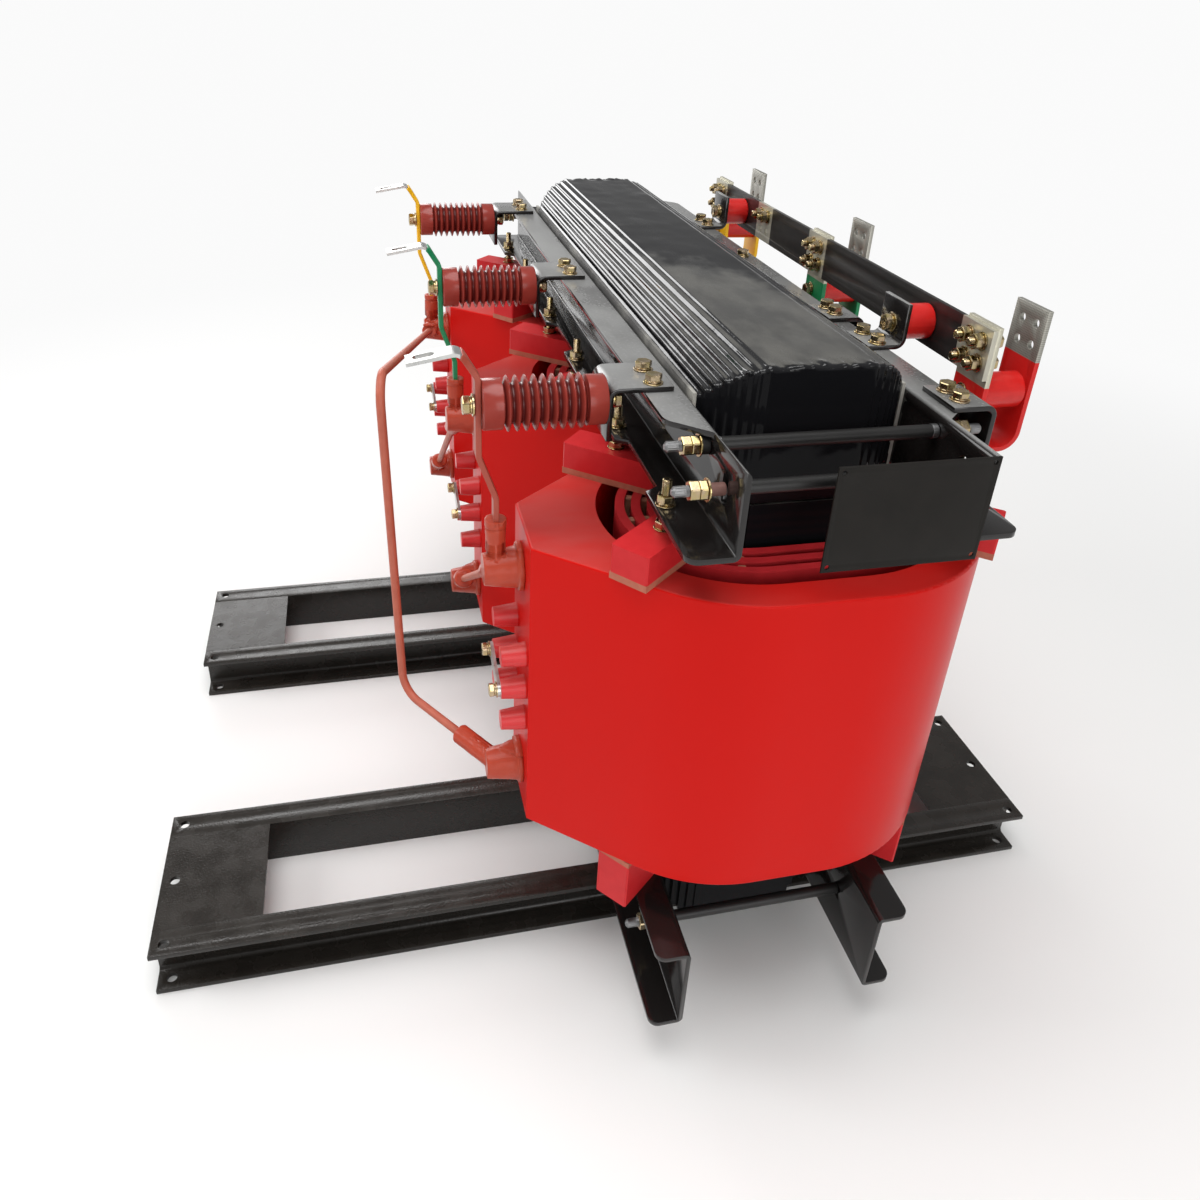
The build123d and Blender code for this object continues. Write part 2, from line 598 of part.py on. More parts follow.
# High-voltage post insulators on angle brackets bolted to the clamp's top flange
with BuildPart() as hv_brackets:
    for place in PHASES.values():
        centre_x = place * LIMB_PITCH + HV_BRACKET_SHIFT
        foot_z = UPPER_CLAMP_TOP + BRACKET_THICK / 2
        leg_y = -HV_SEAT + BRACKET_THICK / 2
        with BuildSketch(section(centre_x - HV_BRACKET_WIDTH / 2)):
            with BuildLine():
                FilletPolyline(
                    (-CLAMP_OUTER - HV_FOOT_MARGIN, foot_z),
                    (leg_y, foot_z),
                    (leg_y, foot_z - HV_BRACKET_DROP),
                    radius=BRACKET_BEND,
                )
            trace(line_width=BRACKET_THICK)
        extrude(amount=HV_BRACKET_WIDTH)
save(hv_brackets, "hv_brackets")

shed_pitch = (INSULATOR_LENGTH - 2 * INSULATOR_CAP) / INSULATOR_SHEDS
shed_outline = []
for shed in range(INSULATOR_SHEDS):
    shed_middle = -HV_SEAT - INSULATOR_CAP - (shed + 0.5) * shed_pitch
    shed_outline += [
        (shed_middle + shed_pitch / 2, INSULATOR_CORE / 2),
        (shed_middle + SHED_TIP / 2, INSULATOR_DIAMETER / 2),
        (shed_middle - SHED_TIP / 2, INSULATOR_DIAMETER / 2),
    ]
with BuildPart() as hv_insulators:
    for place in PHASES.values():
        axis_plane = section(place * LIMB_PITCH, INSULATOR_Z)
        with BuildSketch(axis_plane):
            with BuildLine():
                Polyline(
                    (-HV_SEAT, 0),
                    (-HV_SEAT, INSULATOR_DIAMETER / 2),
                    (-HV_SEAT - INSULATOR_CAP, INSULATOR_DIAMETER / 2),
                    *shed_outline,
                    (-INSULATOR_REACH + INSULATOR_CAP, INSULATOR_CORE / 2),
                    (-INSULATOR_REACH + INSULATOR_CAP, INSULATOR_DIAMETER / 2),
                    (-INSULATOR_REACH, INSULATOR_DIAMETER / 2),
                    (-INSULATOR_REACH, 0),
                    close=True,
                )
            make_face()
        revolve(axis=Axis(axis_plane.origin, (0, 1, 0)))
save(hv_insulators, "hv_insulators")

# Flat copper leads from the terminal boots past the insulators to the bare lugs
lead_y = -INSULATOR_REACH - LEAD_STANDOFF - LEAD_THICK / 2
lug_root_y = lead_y - LUG_SHOULDER
neck_top_z = TOP_BOOT_Z + LEAD_NECK_LENGTH
lug_z = INSULATOR_Z + LUG_RISE
for phase_name, place in PHASES.items():
    lead_x = place * LIMB_PITCH + LEAD_SHIFT
    with BuildPart() as hv_lead:
        with BuildSketch(section(lead_x - LUG_WIDTH / 2)):
            with BuildLine():
                FilletPolyline(
                    (lug_root_y - LUG_LENGTH, lug_z - LUG_SLOPE),
                    (lug_root_y, lug_z),
                    (lead_y, INSULATOR_Z + INSULATOR_DIAMETER / 2),
                    (lead_y, INSULATOR_Z - INSULATOR_DIAMETER),
                    (-BOOT_REACH, neck_top_z + LEAD_TAIL),
                    (-BOOT_REACH, neck_top_z),
                    radius=LEAD_BEND,
                )
            trace(line_width=LEAD_THICK)
        extrude(amount=LUG_WIDTH)
        with BuildSketch(level(neck_top_z, lead_x)):
            with BuildLine():
                Polyline(
                    (-LUG_WIDTH / 2, lug_root_y - LUG_LENGTH),
                    (-LUG_WIDTH / 2, lug_root_y),
                    (-LEAD_WIDTH / 2, lug_root_y + LUG_SHOULDER / 2),
                    (-LEAD_WIDTH / 2, -NOSE_REACH),
                    (LEAD_WIDTH / 2, -NOSE_REACH),
                    (LEAD_WIDTH / 2, lug_root_y + LUG_SHOULDER / 2),
                    (LUG_WIDTH / 2, lug_root_y),
                    (LUG_WIDTH / 2, lug_root_y - LUG_LENGTH),
                    close=True,
                )
            make_face()
        extrude(amount=lug_z - neck_top_z + LUG_RISE, mode=Mode.INTERSECT)
        slot_y = lug_root_y - LUG_LENGTH + LUG_SLOT_FROM_END
        with BuildSketch(level(lug_z, lead_x, slot_y)):
            SlotOverall(LUG_SLOT_LENGTH, LUG_SLOT_WIDTH, rotation=90)
        extrude(amount=LUG_RISE, both=True, mode=Mode.SUBTRACT)
    save(hv_lead, f"hv_lead_{phase_name}")


def boot_point(place, shift, z):
    """Where a boot's neck starts, on the axis of the boot's barrel."""
    return Vector(place * LIMB_PITCH + shift, CORE_Y - BOOT_REACH, z)


def boot_feet(diameter, shift, z):
    """Round feet of the rubber boots on the coils' noses."""
    with BuildSketch(facing(-NOSE_REACH, shift, z)) as feet:
        with Locations(*[(place * LIMB_PITCH, 0) for place in PHASES.values()]):
            Circle(diameter / 2)
    return feet.sketch


def link_neck(start, towards):
    """Round section of a boot's neck that takes the end of a link rod."""
    with BuildSketch(Plane(origin=start, z_dir=towards - start)) as neck:
        Circle(LINK_NECK / 2)
    return neck.sketch


def neck_end(start, towards):
    """Open end of such a neck, where the rod goes in."""
    return start + (towards - start).normalized() * LINK_NECK_LENGTH


top = {name: boot_point(place, LEAD_SHIFT, TOP_BOOT_Z) for name, place in PHASES.items()}
bottom = {
    name: boot_point(place, BOTTOM_BOOT_SHIFT, BOTTOM_BOOT_Z) for name, place in PHASES.items()
}
long_out = CORE_Y - NOSE_REACH - LONG_LINK_OUT
long_low = Vector(LONG_LINK_X, long_out, COIL_BOTTOM + LONG_LINK_LOW)
long_high = Vector(LONG_LINK_X, long_out - LONG_LINK_LEAN, COIL_TOP + LONG_LINK_HIGH)

# Rubber boots over the coil terminals
with BuildPart() as hv_top_boots:
    extrude(boot_feet(BOOT_RIM, LEAD_SHIFT, TOP_BOOT_Z), amount=BOOT_RIM_THICK)
    extrude(boot_feet(BOOT_BASE, LEAD_SHIFT, TOP_BOOT_Z), amount=BOOT_LENGTH, taper=BOOT_TAPER)
    with BuildSketch(level(TOP_BOOT_Z, LEAD_SHIFT, -BOOT_REACH)):
        with Locations(*[(place * LIMB_PITCH, 0) for place in PHASES.values()]):
            Circle(LEAD_NECK / 2)
    extrude(amount=LEAD_NECK_LENGTH)
    with BuildSketch(level(neck_top_z, LEAD_SHIFT, -BOOT_REACH)):
        with Locations(*[(place * LIMB_PITCH, 0) for place in PHASES.values()]):
            Circle((LEAD_NECK + NECK_COLLAR) / 2)
    extrude(amount=-NECK_COLLAR_LENGTH)
    extrude(link_neck(top["a"], long_high), amount=LINK_NECK_LENGTH)
    extrude(link_neck(top["b"], bottom["a"]), amount=LINK_NECK_LENGTH)
    extrude(link_neck(top["c"], bottom["b"]), amount=LINK_NECK_LENGTH)
save(hv_top_boots, "hv_top_boots")

with BuildPart() as hv_bottom_boots:
    extrude(boot_feet(BOOT_RIM, BOTTOM_BOOT_SHIFT, BOTTOM_BOOT_Z), amount=BOOT_RIM_THICK)
    bottom_feet = boot_feet(BOOT_BASE, BOTTOM_BOOT_SHIFT, BOTTOM_BOOT_Z)
    extrude(bottom_feet, amount=BOOT_LENGTH, taper=BOOT_TAPER)
    extrude(link_neck(bottom["a"], top["b"]), amount=LINK_NECK_LENGTH)
    extrude(link_neck(bottom["b"], top["c"]), amount=LINK_NECK_LENGTH)
    extrude(link_neck(bottom["c"], long_low), amount=LINK_NECK_LENGTH)
save(hv_bottom_boots, "hv_bottom_boots")

# Delta links: two straight rods and a long one bent round the front of the windings
with BuildPart() as short_links:
    for low, high in (("a", "b"), ("b", "c")):
        start = neck_end(bottom[low], top[high])
        finish = neck_end(top[high], bottom[low])
        with BuildSketch(Plane(origin=start, z_dir=finish - start)):
            Circle(LINK / 2)
        extrude(amount=(finish - start).length)
save(short_links, "delta_links_short")

with BuildPart() as long_link:
    with BuildLine() as route:
        FilletPolyline(
            neck_end(bottom["c"], long_low),
            long_low,
            long_high,
            neck_end(top["a"], long_high),
            radius=LONG_LINK_BEND,
        )
    with BuildSketch(Plane(origin=route.line @ 0, z_dir=route.line % 0)):
        Circle(LINK / 2)
    sweep()
save(long_link, "delta_link_long")

# Tap links: a flat strap across the middle pair of tap bosses
tap_run = hypot(TAP_PITCH_X, TAP_STAGGER)
tap_turn = degrees(atan2(-TAP_STAGGER, TAP_PITCH_X))
with BuildPart() as tap_links:
    with BuildSketch(facing(-NOSE_REACH - TAP_LENGTH, 0, TAP_MIDDLE_Z)):
        with Locations(*[(place * LIMB_PITCH, 0) for place in PHASES.values()]):
            SlotCenterToCenter(tap_run, TAP_LINK_WIDTH, rotation=tap_turn)
    extrude(amount=TAP_LINK_THICK)
save(tap_links, "tap_links")

# Low-voltage phase bars: up from the winding, out under the clamp and up to the terminal holes
for phase_name, place in PHASES.items():
    bar_x = place * LIMB_PITCH + PHASE_BAR_SHIFT
    run_z = UPPER_CLAMP_FOOT - PHASE_RUN_BELOW_FOOT
    with BuildPart() as lv_bar:
        with BuildSketch(section(bar_x - BAR_WIDTH / 2)):
            with BuildLine():
                FilletPolyline(
                    (PHASE_RISER, COIL_TOP),
                    (PHASE_RISER, run_z),
                    (PHASE_BAR_OUT, run_z),
                    (PHASE_BAR_OUT, PHASE_BAR_TOP),
                    radius=PHASE_BAR_BEND,
                )
            trace(line_width=BAR_THICK)
        extrude(amount=BAR_WIDTH)
        hole_z = PHASE_BAR_TOP - TERMINAL_FROM_TOP - TERMINAL_PITCH / 2
        with BuildSketch(facing(PHASE_BAR_OUT, bar_x, hole_z)):
            with GridLocations(TERMINAL_PITCH, TERMINAL_PITCH, 2, 2):
                Circle(TERMINAL_HOLE / 2)
        extrude(amount=BAR_THICK, both=True, mode=Mode.SUBTRACT)
    save(lv_bar, f"lv_phase_bar_{phase_name}")

# Neutral bars, the bus that joins them and the standoffs that hold them apart
joint_holes = [
    (place * LIMB_PITCH + across * TERMINAL_PITCH / 2, rise * TERMINAL_PITCH / 2)
    for place in PHASES.values()
    for across in (-1, 1)
    for rise in (-1, 1)
]
with BuildPart() as neutral_bars:
    for place in PHASES.values():
        bar_x = place * LIMB_PITCH + NEUTRAL_SHIFT
        run_z = UPPER_CLAMP_FOOT + NEUTRAL_RUN_ABOVE_FOOT
        with BuildSketch(section(bar_x - BAR_WIDTH / 2)):
            with BuildLine():
                FilletPolyline(
                    (NEUTRAL_RISER, COIL_TOP),
                    (NEUTRAL_RISER, run_z),
                    (NEUTRAL_OUT, run_z),
                    (NEUTRAL_OUT, NEUTRAL_TOP),
                    radius=BAR_BEND,
                )
            trace(line_width=BAR_THICK)
        extrude(amount=BAR_WIDTH)
    with BuildSketch(facing(NEUTRAL_OUT, NEUTRAL_SHIFT, BUS_TOP - BAR_WIDTH / 2)):
        with Locations(*joint_holes):
            Circle(TERMINAL_HOLE / 2)
    extrude(amount=BAR_THICK, both=True, mode=Mode.SUBTRACT)
save(neutral_bars, "neutral_bars")

with BuildPart() as neutral_bus:
    with BuildSketch(facing(BUS_FACE, NEUTRAL_SHIFT, BUS_TOP - BAR_WIDTH / 2)):
        Rectangle(2 * LIMB_PITCH + BAR_WIDTH, BAR_WIDTH)
        with Locations(*joint_holes):
            Circle(TERMINAL_HOLE / 2, mode=Mode.SUBTRACT)
    extrude(amount=BAR_THICK)
save(neutral_bus, "neutral_bus")

with BuildPart() as lv_standoffs:
    phase_length = PHASE_BAR_OUT - NEUTRAL_OUT - BAR_THICK
    with BuildSketch(facing(PHASE_BAR_OUT - BAR_THICK / 2, PHASE_STANDOFF_SHIFT, STANDOFF_Z)):
        with Locations(*[(place * LIMB_PITCH, 0) for place in PHASES.values()]):
            Circle(STANDOFF / 2)
    extrude(amount=phase_length)
    bus_middle_z = BUS_TOP - BAR_WIDTH / 2
    with BuildSketch(facing(BUS_FACE - BAR_THICK, 0, bus_middle_z)):
        with GridLocations(NEUTRAL_SUPPORT_PITCH, STANDOFF, 2, 1):
            Circle(STANDOFF / 2)
    extrude(amount=NEUTRAL_STANDOFF_LENGTH)
    chamfer(lv_standoffs.edges().filter_by(GeomType.CIRCLE), STANDOFF_CHAMFER)
save(lv_standoffs, "lv_standoffs")

# Angle brackets on the low-voltage clamp: two carry the neutral bus, two turn down beside the bars
with BuildPart() as lv_brackets:
    foot_z = UPPER_CLAMP_TOP + BRACKET_THICK / 2
    support_y = BUS_FACE - BAR_THICK - NEUTRAL_STANDOFF_LENGTH - BRACKET_THICK / 2
    for end in ENDS.values():
        centre_x = end * NEUTRAL_SUPPORT_PITCH / 2
        with BuildSketch(section(centre_x - NEUTRAL_SUPPORT_WIDTH / 2)):
            with BuildLine():
                FilletPolyline(
                    (CLAMP_OUTER + LV_FOOT_MARGIN, foot_z),
                    (support_y, foot_z),
                    (support_y, BUS_TOP),
                    radius=BRACKET_BEND,
                )
            trace(line_width=BRACKET_THICK)
        extrude(amount=NEUTRAL_SUPPORT_WIDTH)
    for centre_x in LV_BRACKET_PLACES:
        with BuildSketch(section(centre_x - LV_BRACKET_WIDTH / 2)):
            with BuildLine():
                FilletPolyline(
                    (CLAMP_OUTER + LV_FOOT_MARGIN, foot_z),
                    (LV_BRACKET_OUT, foot_z),
                    (LV_BRACKET_OUT, foot_z - LV_BRACKET_DROP),
                    radius=BRACKET_BEND,
                )
            trace(line_width=BRACKET_THICK)
        extrude(amount=LV_BRACKET_WIDTH)
save(lv_brackets, "lv_brackets")

# Bare plate closing the end of the low-voltage clamp
with BuildPart() as rating_plate:
    plate_y = CLAMP_OUTER - PLATE_WIDTH / 2
    plate_z = (UPPER_CLAMP_FOOT + UPPER_CLAMP_TOP) / 2 - NUT_HEIGHT
    plate_height = UPPER_CLAMP_HEIGHT + 2 * NUT_HEIGHT
    with BuildSketch(section(UPPER_CLAMP_LENGTH / 2)):
        with Locations((plate_y, plate_z)):
            Rectangle(PLATE_WIDTH, plate_height)
            with GridLocations(
                PLATE_WIDTH - 2 * PLATE_HOLE_MARGIN, plate_height - 2 * PLATE_HOLE_MARGIN, 2, 2
            ):
                Circle(PLATE_HOLE / 2, mode=Mode.SUBTRACT)
    extrude(amount=PLATE_THICK)
save(rating_plate, "rating_plate")
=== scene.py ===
from math import cos, radians, sin, sqrt

import bpy
from mathutils import Matrix, Vector


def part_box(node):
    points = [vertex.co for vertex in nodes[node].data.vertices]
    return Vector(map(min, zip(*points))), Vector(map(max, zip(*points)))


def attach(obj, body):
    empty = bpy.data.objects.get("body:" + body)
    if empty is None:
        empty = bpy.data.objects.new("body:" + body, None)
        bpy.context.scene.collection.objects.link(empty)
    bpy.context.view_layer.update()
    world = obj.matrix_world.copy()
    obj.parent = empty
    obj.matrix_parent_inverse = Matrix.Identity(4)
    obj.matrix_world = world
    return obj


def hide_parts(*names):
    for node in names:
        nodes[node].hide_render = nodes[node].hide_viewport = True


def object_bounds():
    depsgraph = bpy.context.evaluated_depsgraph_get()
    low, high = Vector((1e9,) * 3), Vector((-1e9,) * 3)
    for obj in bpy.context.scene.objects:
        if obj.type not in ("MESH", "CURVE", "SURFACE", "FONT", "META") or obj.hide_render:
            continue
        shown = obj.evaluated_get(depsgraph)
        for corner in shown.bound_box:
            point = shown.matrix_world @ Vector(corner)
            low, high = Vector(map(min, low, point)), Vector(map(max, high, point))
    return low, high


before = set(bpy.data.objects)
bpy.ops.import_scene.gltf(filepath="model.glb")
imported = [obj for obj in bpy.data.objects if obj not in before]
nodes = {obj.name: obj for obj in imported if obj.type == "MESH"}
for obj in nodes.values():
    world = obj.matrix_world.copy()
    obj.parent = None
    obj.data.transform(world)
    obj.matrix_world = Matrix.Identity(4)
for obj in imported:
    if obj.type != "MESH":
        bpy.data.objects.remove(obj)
cad_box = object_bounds()


# Bases: hot-rolled channels welded back to back in pairs, with flush plates between their ends.
# They are brushed with black enamel, which dried with a fine grain and is scuffed and dusty.
class Finish:
    """A surface finish: a principled shader fed by patterns on the piece's own coordinates."""

    def __init__(self, name, colour, roughness, metallic=0.0, gloss=0.5):
        self.material = bpy.data.materials.new(name)
        self.material.use_nodes = True
        self.tree = self.material.node_tree
        self.shader = self.tree.nodes["Principled BSDF"]
        self.shader.inputs["Base Color"].default_value = (*colour, 1.0)
        self.shader.inputs["Roughness"].default_value = roughness
        self.shader.inputs["Metallic"].default_value = metallic
        self.shader.inputs["Specular IOR Level"].default_value = gloss
        self.place = self.tree.nodes.new("ShaderNodeTexCoord").outputs["Object"]

    def put(self, node, **values):
        """Add a node and set its sockets, linking those whose value is another node's output."""
        made = self.tree.nodes.new(node)
        for socket, value in values.items():
            self.feed(made.inputs[socket.replace("_", " ")], value)
        return made

    def feed(self, socket, value):
        """Link a value to a socket, or set it there when it is plain."""
        if isinstance(value, bpy.types.NodeSocket):
            self.tree.links.new(value, socket)
        elif isinstance(value, tuple) and len(value) == 3 and socket.type == "RGBA":
            socket.default_value = (*value, 1.0)
        else:
            socket.default_value = value

    def colour(self, value):
        """Feed the shader's colour."""
        self.feed(self.shader.inputs["Base Color"], value)

    def rough(self, value):
        """Feed the shader's roughness."""
        self.feed(self.shader.inputs["Roughness"], value)

    def metallic(self, value):
        """Feed the shader's share of bare metal."""
        self.feed(self.shader.inputs["Metallic"], value)

    def shine(self, value):
        """Feed the shader's specular level."""
        self.feed(self.shader.inputs["Specular IOR Level"], value)

    def cloud(self, scale, detail=4.0, stretch=(1.0, 1.0, 1.0)):
        """Soft random patches, drawn out where the stretch is below one."""
        spread = self.put("ShaderNodeMapping", Vector=self.place, Scale=stretch).outputs["Vector"]
        noise = self.put("ShaderNodeTexNoise", Vector=spread, Scale=scale, Detail=detail)
        return noise.outputs["Fac"]

    def ramp(self, value, low, high, start=0.0, end=1.0):
        """Smooth step from start to end as the value goes from low to high."""
        step = self.put("ShaderNodeMapRange", Value=value)
        step.interpolation_type = "SMOOTHSTEP"
        step.inputs[1].default_value = low
        step.inputs[2].default_value = high
        step.inputs[3].default_value = start
        step.inputs[4].default_value = end
        return step.outputs["Result"]

    def maths(self, how, first, second):
        """One sum on two values."""
        sum_node = self.tree.nodes.new("ShaderNodeMath")
        sum_node.operation = how
        self.feed(sum_node.inputs[0], first)
        self.feed(sum_node.inputs[1], second)
        return sum_node.outputs["Value"]

    def mix(self, amount, first, second):
        """Blend two colours."""
        blend = self.tree.nodes.new("ShaderNodeMix")
        blend.data_type = "RGBA"
        self.feed(blend.inputs["Factor"], amount)
        self.feed(blend.inputs[6], first)
        self.feed(blend.inputs[7], second)
        return blend.outputs[2]

    def along(self, axis):
        """The piece's own coordinate on one axis."""
        return self.put("ShaderNodeSeparateXYZ", Vector=self.place).outputs[axis]

    def upward(self):
        """One where a face looks up, nought where it is upright, less where it looks down."""
        normal = self.tree.nodes.new("ShaderNodeNewGeometry").outputs["Normal"]
        return self.put("ShaderNodeSeparateXYZ", Vector=normal).outputs["Z"]

    def relief(self, height, strength, distance):
        """Raise the surface by a height pattern."""
        bump = self.put("ShaderNodeBump", Height=height, Strength=strength, Distance=distance)
        self.feed(self.shader.inputs["Normal"], bump.outputs["Normal"])

    def wear(self, *names):
        """Give the finish to CAD nodes."""
        for name in names:
            nodes[name].data.materials.clear()
            nodes[name].data.materials.append(self.material)


def settle(name, finish):
    """Settle the active object as a finished piece: place in its mesh, finish and body."""
    piece = bpy.context.object
    piece.name = name
    piece.data.name = name
    bpy.ops.object.transform_apply(location=True, rotation=True, scale=True)
    piece.data.materials.clear()
    piece.data.materials.append(finish.material)
    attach(piece, "root")
    return piece


def take_copy(node_name):
    """Copy a CAD node into a new active object with its loose triangles merged."""
    source = nodes[node_name]
    piece = source.copy()
    piece.data = source.data.copy()
    for key in list(piece.keys()):
        del piece[key]
    piece.parent = None
    bpy.context.scene.collection.objects.link(piece)
    bpy.ops.object.select_all(action="DESELECT")
    piece.select_set(True)
    bpy.context.view_layer.objects.active = piece
    bpy.ops.object.mode_set(mode="EDIT")
    bpy.ops.mesh.select_all(action="SELECT")
    bpy.ops.mesh.remove_doubles(threshold=0.00002)
    bpy.ops.object.mode_set(mode="OBJECT")
    return piece


def apply_all(piece):
    """Apply a piece's modifiers in their order."""
    for modifier in list(piece.modifiers):
        bpy.ops.object.modifier_apply(modifier=modifier.name)


def break_edges(node_name, finish, edge):
    """Stand a copy of a CAD node with its sharp edges broken in for the node."""
    piece = take_copy(node_name)
    bpy.ops.object.mode_set(mode="EDIT")
    bpy.ops.mesh.select_all(action="SELECT")
    bpy.ops.mesh.dissolve_limited(angle_limit=radians(0.5))
    bpy.ops.object.mode_set(mode="OBJECT")
    rounding = piece.modifiers.new("broken_edges", "BEVEL")
    rounding.width = edge
    rounding.segments = 2
    rounding.limit_method = "ANGLE"
    rounding.angle_limit = radians(40)
    apply_all(piece)
    bpy.ops.object.shade_smooth_by_angle(angle=radians(35))
    settle(f"{node_name}_edged", finish)
    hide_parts(node_name)
    return piece


frame_paint = Finish("black_frame_enamel", (0.014, 0.012, 0.011), 0.36, gloss=0.35)
brush = frame_paint.cloud(26.0, 6.0)
peel = frame_paint.cloud(330.0, 3.0)
scuff = frame_paint.ramp(frame_paint.cloud(14.0, 9.0, (1.0, 0.35, 1.0)), 0.60, 0.76)
dust = frame_paint.maths("MULTIPLY", frame_paint.ramp(frame_paint.upward(), 0.4, 1.0), brush)
enamel = frame_paint.mix(brush, (0.011, 0.0095, 0.008), (0.017, 0.0145, 0.012))
dusty = frame_paint.mix(frame_paint.maths("MULTIPLY", dust, 0.06), enamel, (0.30, 0.26, 0.22))
frame_paint.colour(
    frame_paint.mix(frame_paint.maths("MULTIPLY", scuff, 0.06), dusty, (0.26, 0.22, 0.19))
)
frame_paint.rough(frame_paint.ramp(brush, 0.3, 0.8, 0.20, 0.38))
frame_paint.relief(frame_paint.maths("ADD", peel, brush), 0.42, 0.0010)

ROLLED_EDGE = 0.0015
for rail in ("left_outer", "left_inner", "right_inner", "right_outer"):
    break_edges(f"base_{rail}_rail", frame_paint, ROLLED_EDGE)
frame_paint.wear("base_end_plates")


# Lower clamps: folded steel channels that stand on the bases and grip the lower yoke.
# Their enamel is sprayed, blacker and glossier; only the topmost flanges carry a grey film that is
# partly dust and partly painted reflection.
CUT_EDGE = 0.0008
clamp_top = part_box("upper_clamp_hv")[1].z
clamp_enamel = Finish("black_clamp_enamel", (0.009, 0.008, 0.008), 0.16)
flow = clamp_enamel.cloud(18.0, 3.0)
speck = clamp_enamel.cloud(260.0, 4.0)
# Painted reflection and dust: the topmost up-facing faces are coloured a light grey in patches and
# specks, standing partly for a reflection of the bright surroundings.
topmost = clamp_enamel.ramp(clamp_enamel.along("Z"), clamp_top - 0.012, clamp_top - 0.004)
film = clamp_enamel.maths("MULTIPLY", clamp_enamel.ramp(clamp_enamel.upward(), 0.6, 1.0), topmost)
patches = clamp_enamel.cloud(7.0, 5.0, (0.6, 1.0, 1.0))
dust = clamp_enamel.maths("MULTIPLY", clamp_enamel.ramp(speck, 0.50, 0.70), 0.16)
dust_and_sheen_patches = clamp_enamel.maths("ADD", clamp_enamel.ramp(patches, 0.34, 0.62, 0.36, 0.88), dust)
film = clamp_enamel.maths("MULTIPLY", film, dust_and_sheen_patches)
black = clamp_enamel.mix(flow, (0.007, 0.006, 0.006), (0.014, 0.012, 0.011))
clamp_enamel.colour(clamp_enamel.mix(film, black, (0.24, 0.24, 0.235)))
clamp_enamel.rough(clamp_enamel.maths("ADD", clamp_enamel.maths("MULTIPLY", film, 0.22), 0.13))
ripple = clamp_enamel.maths("ADD", flow, clamp_enamel.maths("MULTIPLY", speck, 0.03))
clamp_enamel.relief(ripple, 0.20, 0.0012)
break_edges("lower_clamp_hv", clamp_enamel, CUT_EDGE)
break_edges("lower_clamp_lv", clamp_enamel, CUT_EDGE)


# Core: stacked packets of thin steel sheet, stepped to fill an oval. Black varnish brushed over
# the upper yoke has softened the steps, run along them and dried glossy, with a lip at each end.
yoke_low, yoke_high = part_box("upper_yoke")
core_y = (yoke_low.y + yoke_high.y) / 2
varnish = Finish("core_varnish", (0.010, 0.010, 0.011), 0.10)
runs = varnish.cloud(34.0, 4.0, (0.03, 1.0, 1.0))
pools = varnish.cloud(6.0, 5.0)
smears = varnish.cloud(26.0, 6.0, (0.5, 1.0, 1.0))
flat = varnish.ramp(varnish.upward(), 0.96, 0.995)
slant = varnish.maths("MULTIPLY", varnish.maths("SUBTRACT", varnish.along("Y"), core_y), -2.4)
haze_and_sheen_reach = varnish.maths("ADD", varnish.along("X"), slant)
haze_and_sheen_reach = varnish.maths("ADD", haze_and_sheen_reach, varnish.maths("MULTIPLY", pools, 1.1))
haze_and_sheen_reach = varnish.maths("ADD", haze_and_sheen_reach, varnish.maths("MULTIPLY", smears, 0.25))
# The nearer part of the flat tops is painted a lighter grey, partly a dull haze on the varnish and
# partly painted reflection; the far part is left dark.
hazed_and_sheened = varnish.ramp(haze_and_sheen_reach, 0.70, 0.88)
clean = varnish.maths("MULTIPLY", flat, varnish.maths("SUBTRACT", 1.0, hazed_and_sheened))
streaked = varnish.ramp(smears, 0.3, 0.7, 0.4, 1.0)
haze = varnish.maths("MULTIPLY", varnish.maths("MULTIPLY", flat, hazed_and_sheened), streaked)
# Painted reflection and haze: the colour of the nearer flat tops is mixed towards grey.
varnish.colour(varnish.mix(haze, (0.007, 0.007, 0.008), (0.085, 0.082, 0.073)))
run_rough = varnish.ramp(runs, 0.35, 0.70, 0.05, 0.15)
varnish.rough(varnish.maths("ADD", run_rough, varnish.maths("MULTIPLY", haze, 0.06)))
shine = varnish.ramp(varnish.upward(), 0.10, 0.50, 0.08, 0.5)
varnish.shine(varnish.maths("SUBTRACT", shine, varnish.maths("MULTIPLY", clean, 0.42)))
near_end = varnish.ramp(varnish.along("X"), 0.22, 0.46)
ripples = varnish.maths("MULTIPLY", varnish.cloud(34.0, 2.0), near_end)
swell = varnish.maths("ADD", runs, pools)
swell = varnish.maths("ADD", swell, varnish.maths("MULTIPLY", ripples, 3.0))
varnish.relief(swell, 0.10, 0.0016)
varnish.wear("lower_yoke", "core_limbs")


def lumpy(piece, name, size, strength, group="", level=0.5):
    """Push a surface, or a group of its points, in and out of a level by soft random lumps."""
    pattern = bpy.data.textures.new(name, "CLOUDS")
    pattern.noise_scale = size
    push = piece.modifiers.new(name, "DISPLACE")
    push.texture = pattern
    push.texture_coords = "LOCAL"
    push.strength = strength
    push.mid_level = level
    push.vertex_group = group
    apply_all(piece)


def soften(piece, grain, passes):
    """Remake a piece as one skin of the grain given and smooth its corners."""
    piece.data.remesh_voxel_size = grain
    bpy.ops.object.voxel_remesh()
    softening = piece.modifiers.new("softened", "SMOOTH")
    softening.factor = 0.5
    softening.iterations = passes
    apply_all(piece)


def draw_out(amount):
    """Stretch the active object along X."""
    bpy.ops.object.mode_set(mode="EDIT")
    bpy.ops.mesh.select_all(action="SELECT")
    bpy.ops.transform.resize(value=(amount, 1.0, 1.0), center_override=(0.0, 0.0, 0.0))
    bpy.ops.object.mode_set(mode="OBJECT")


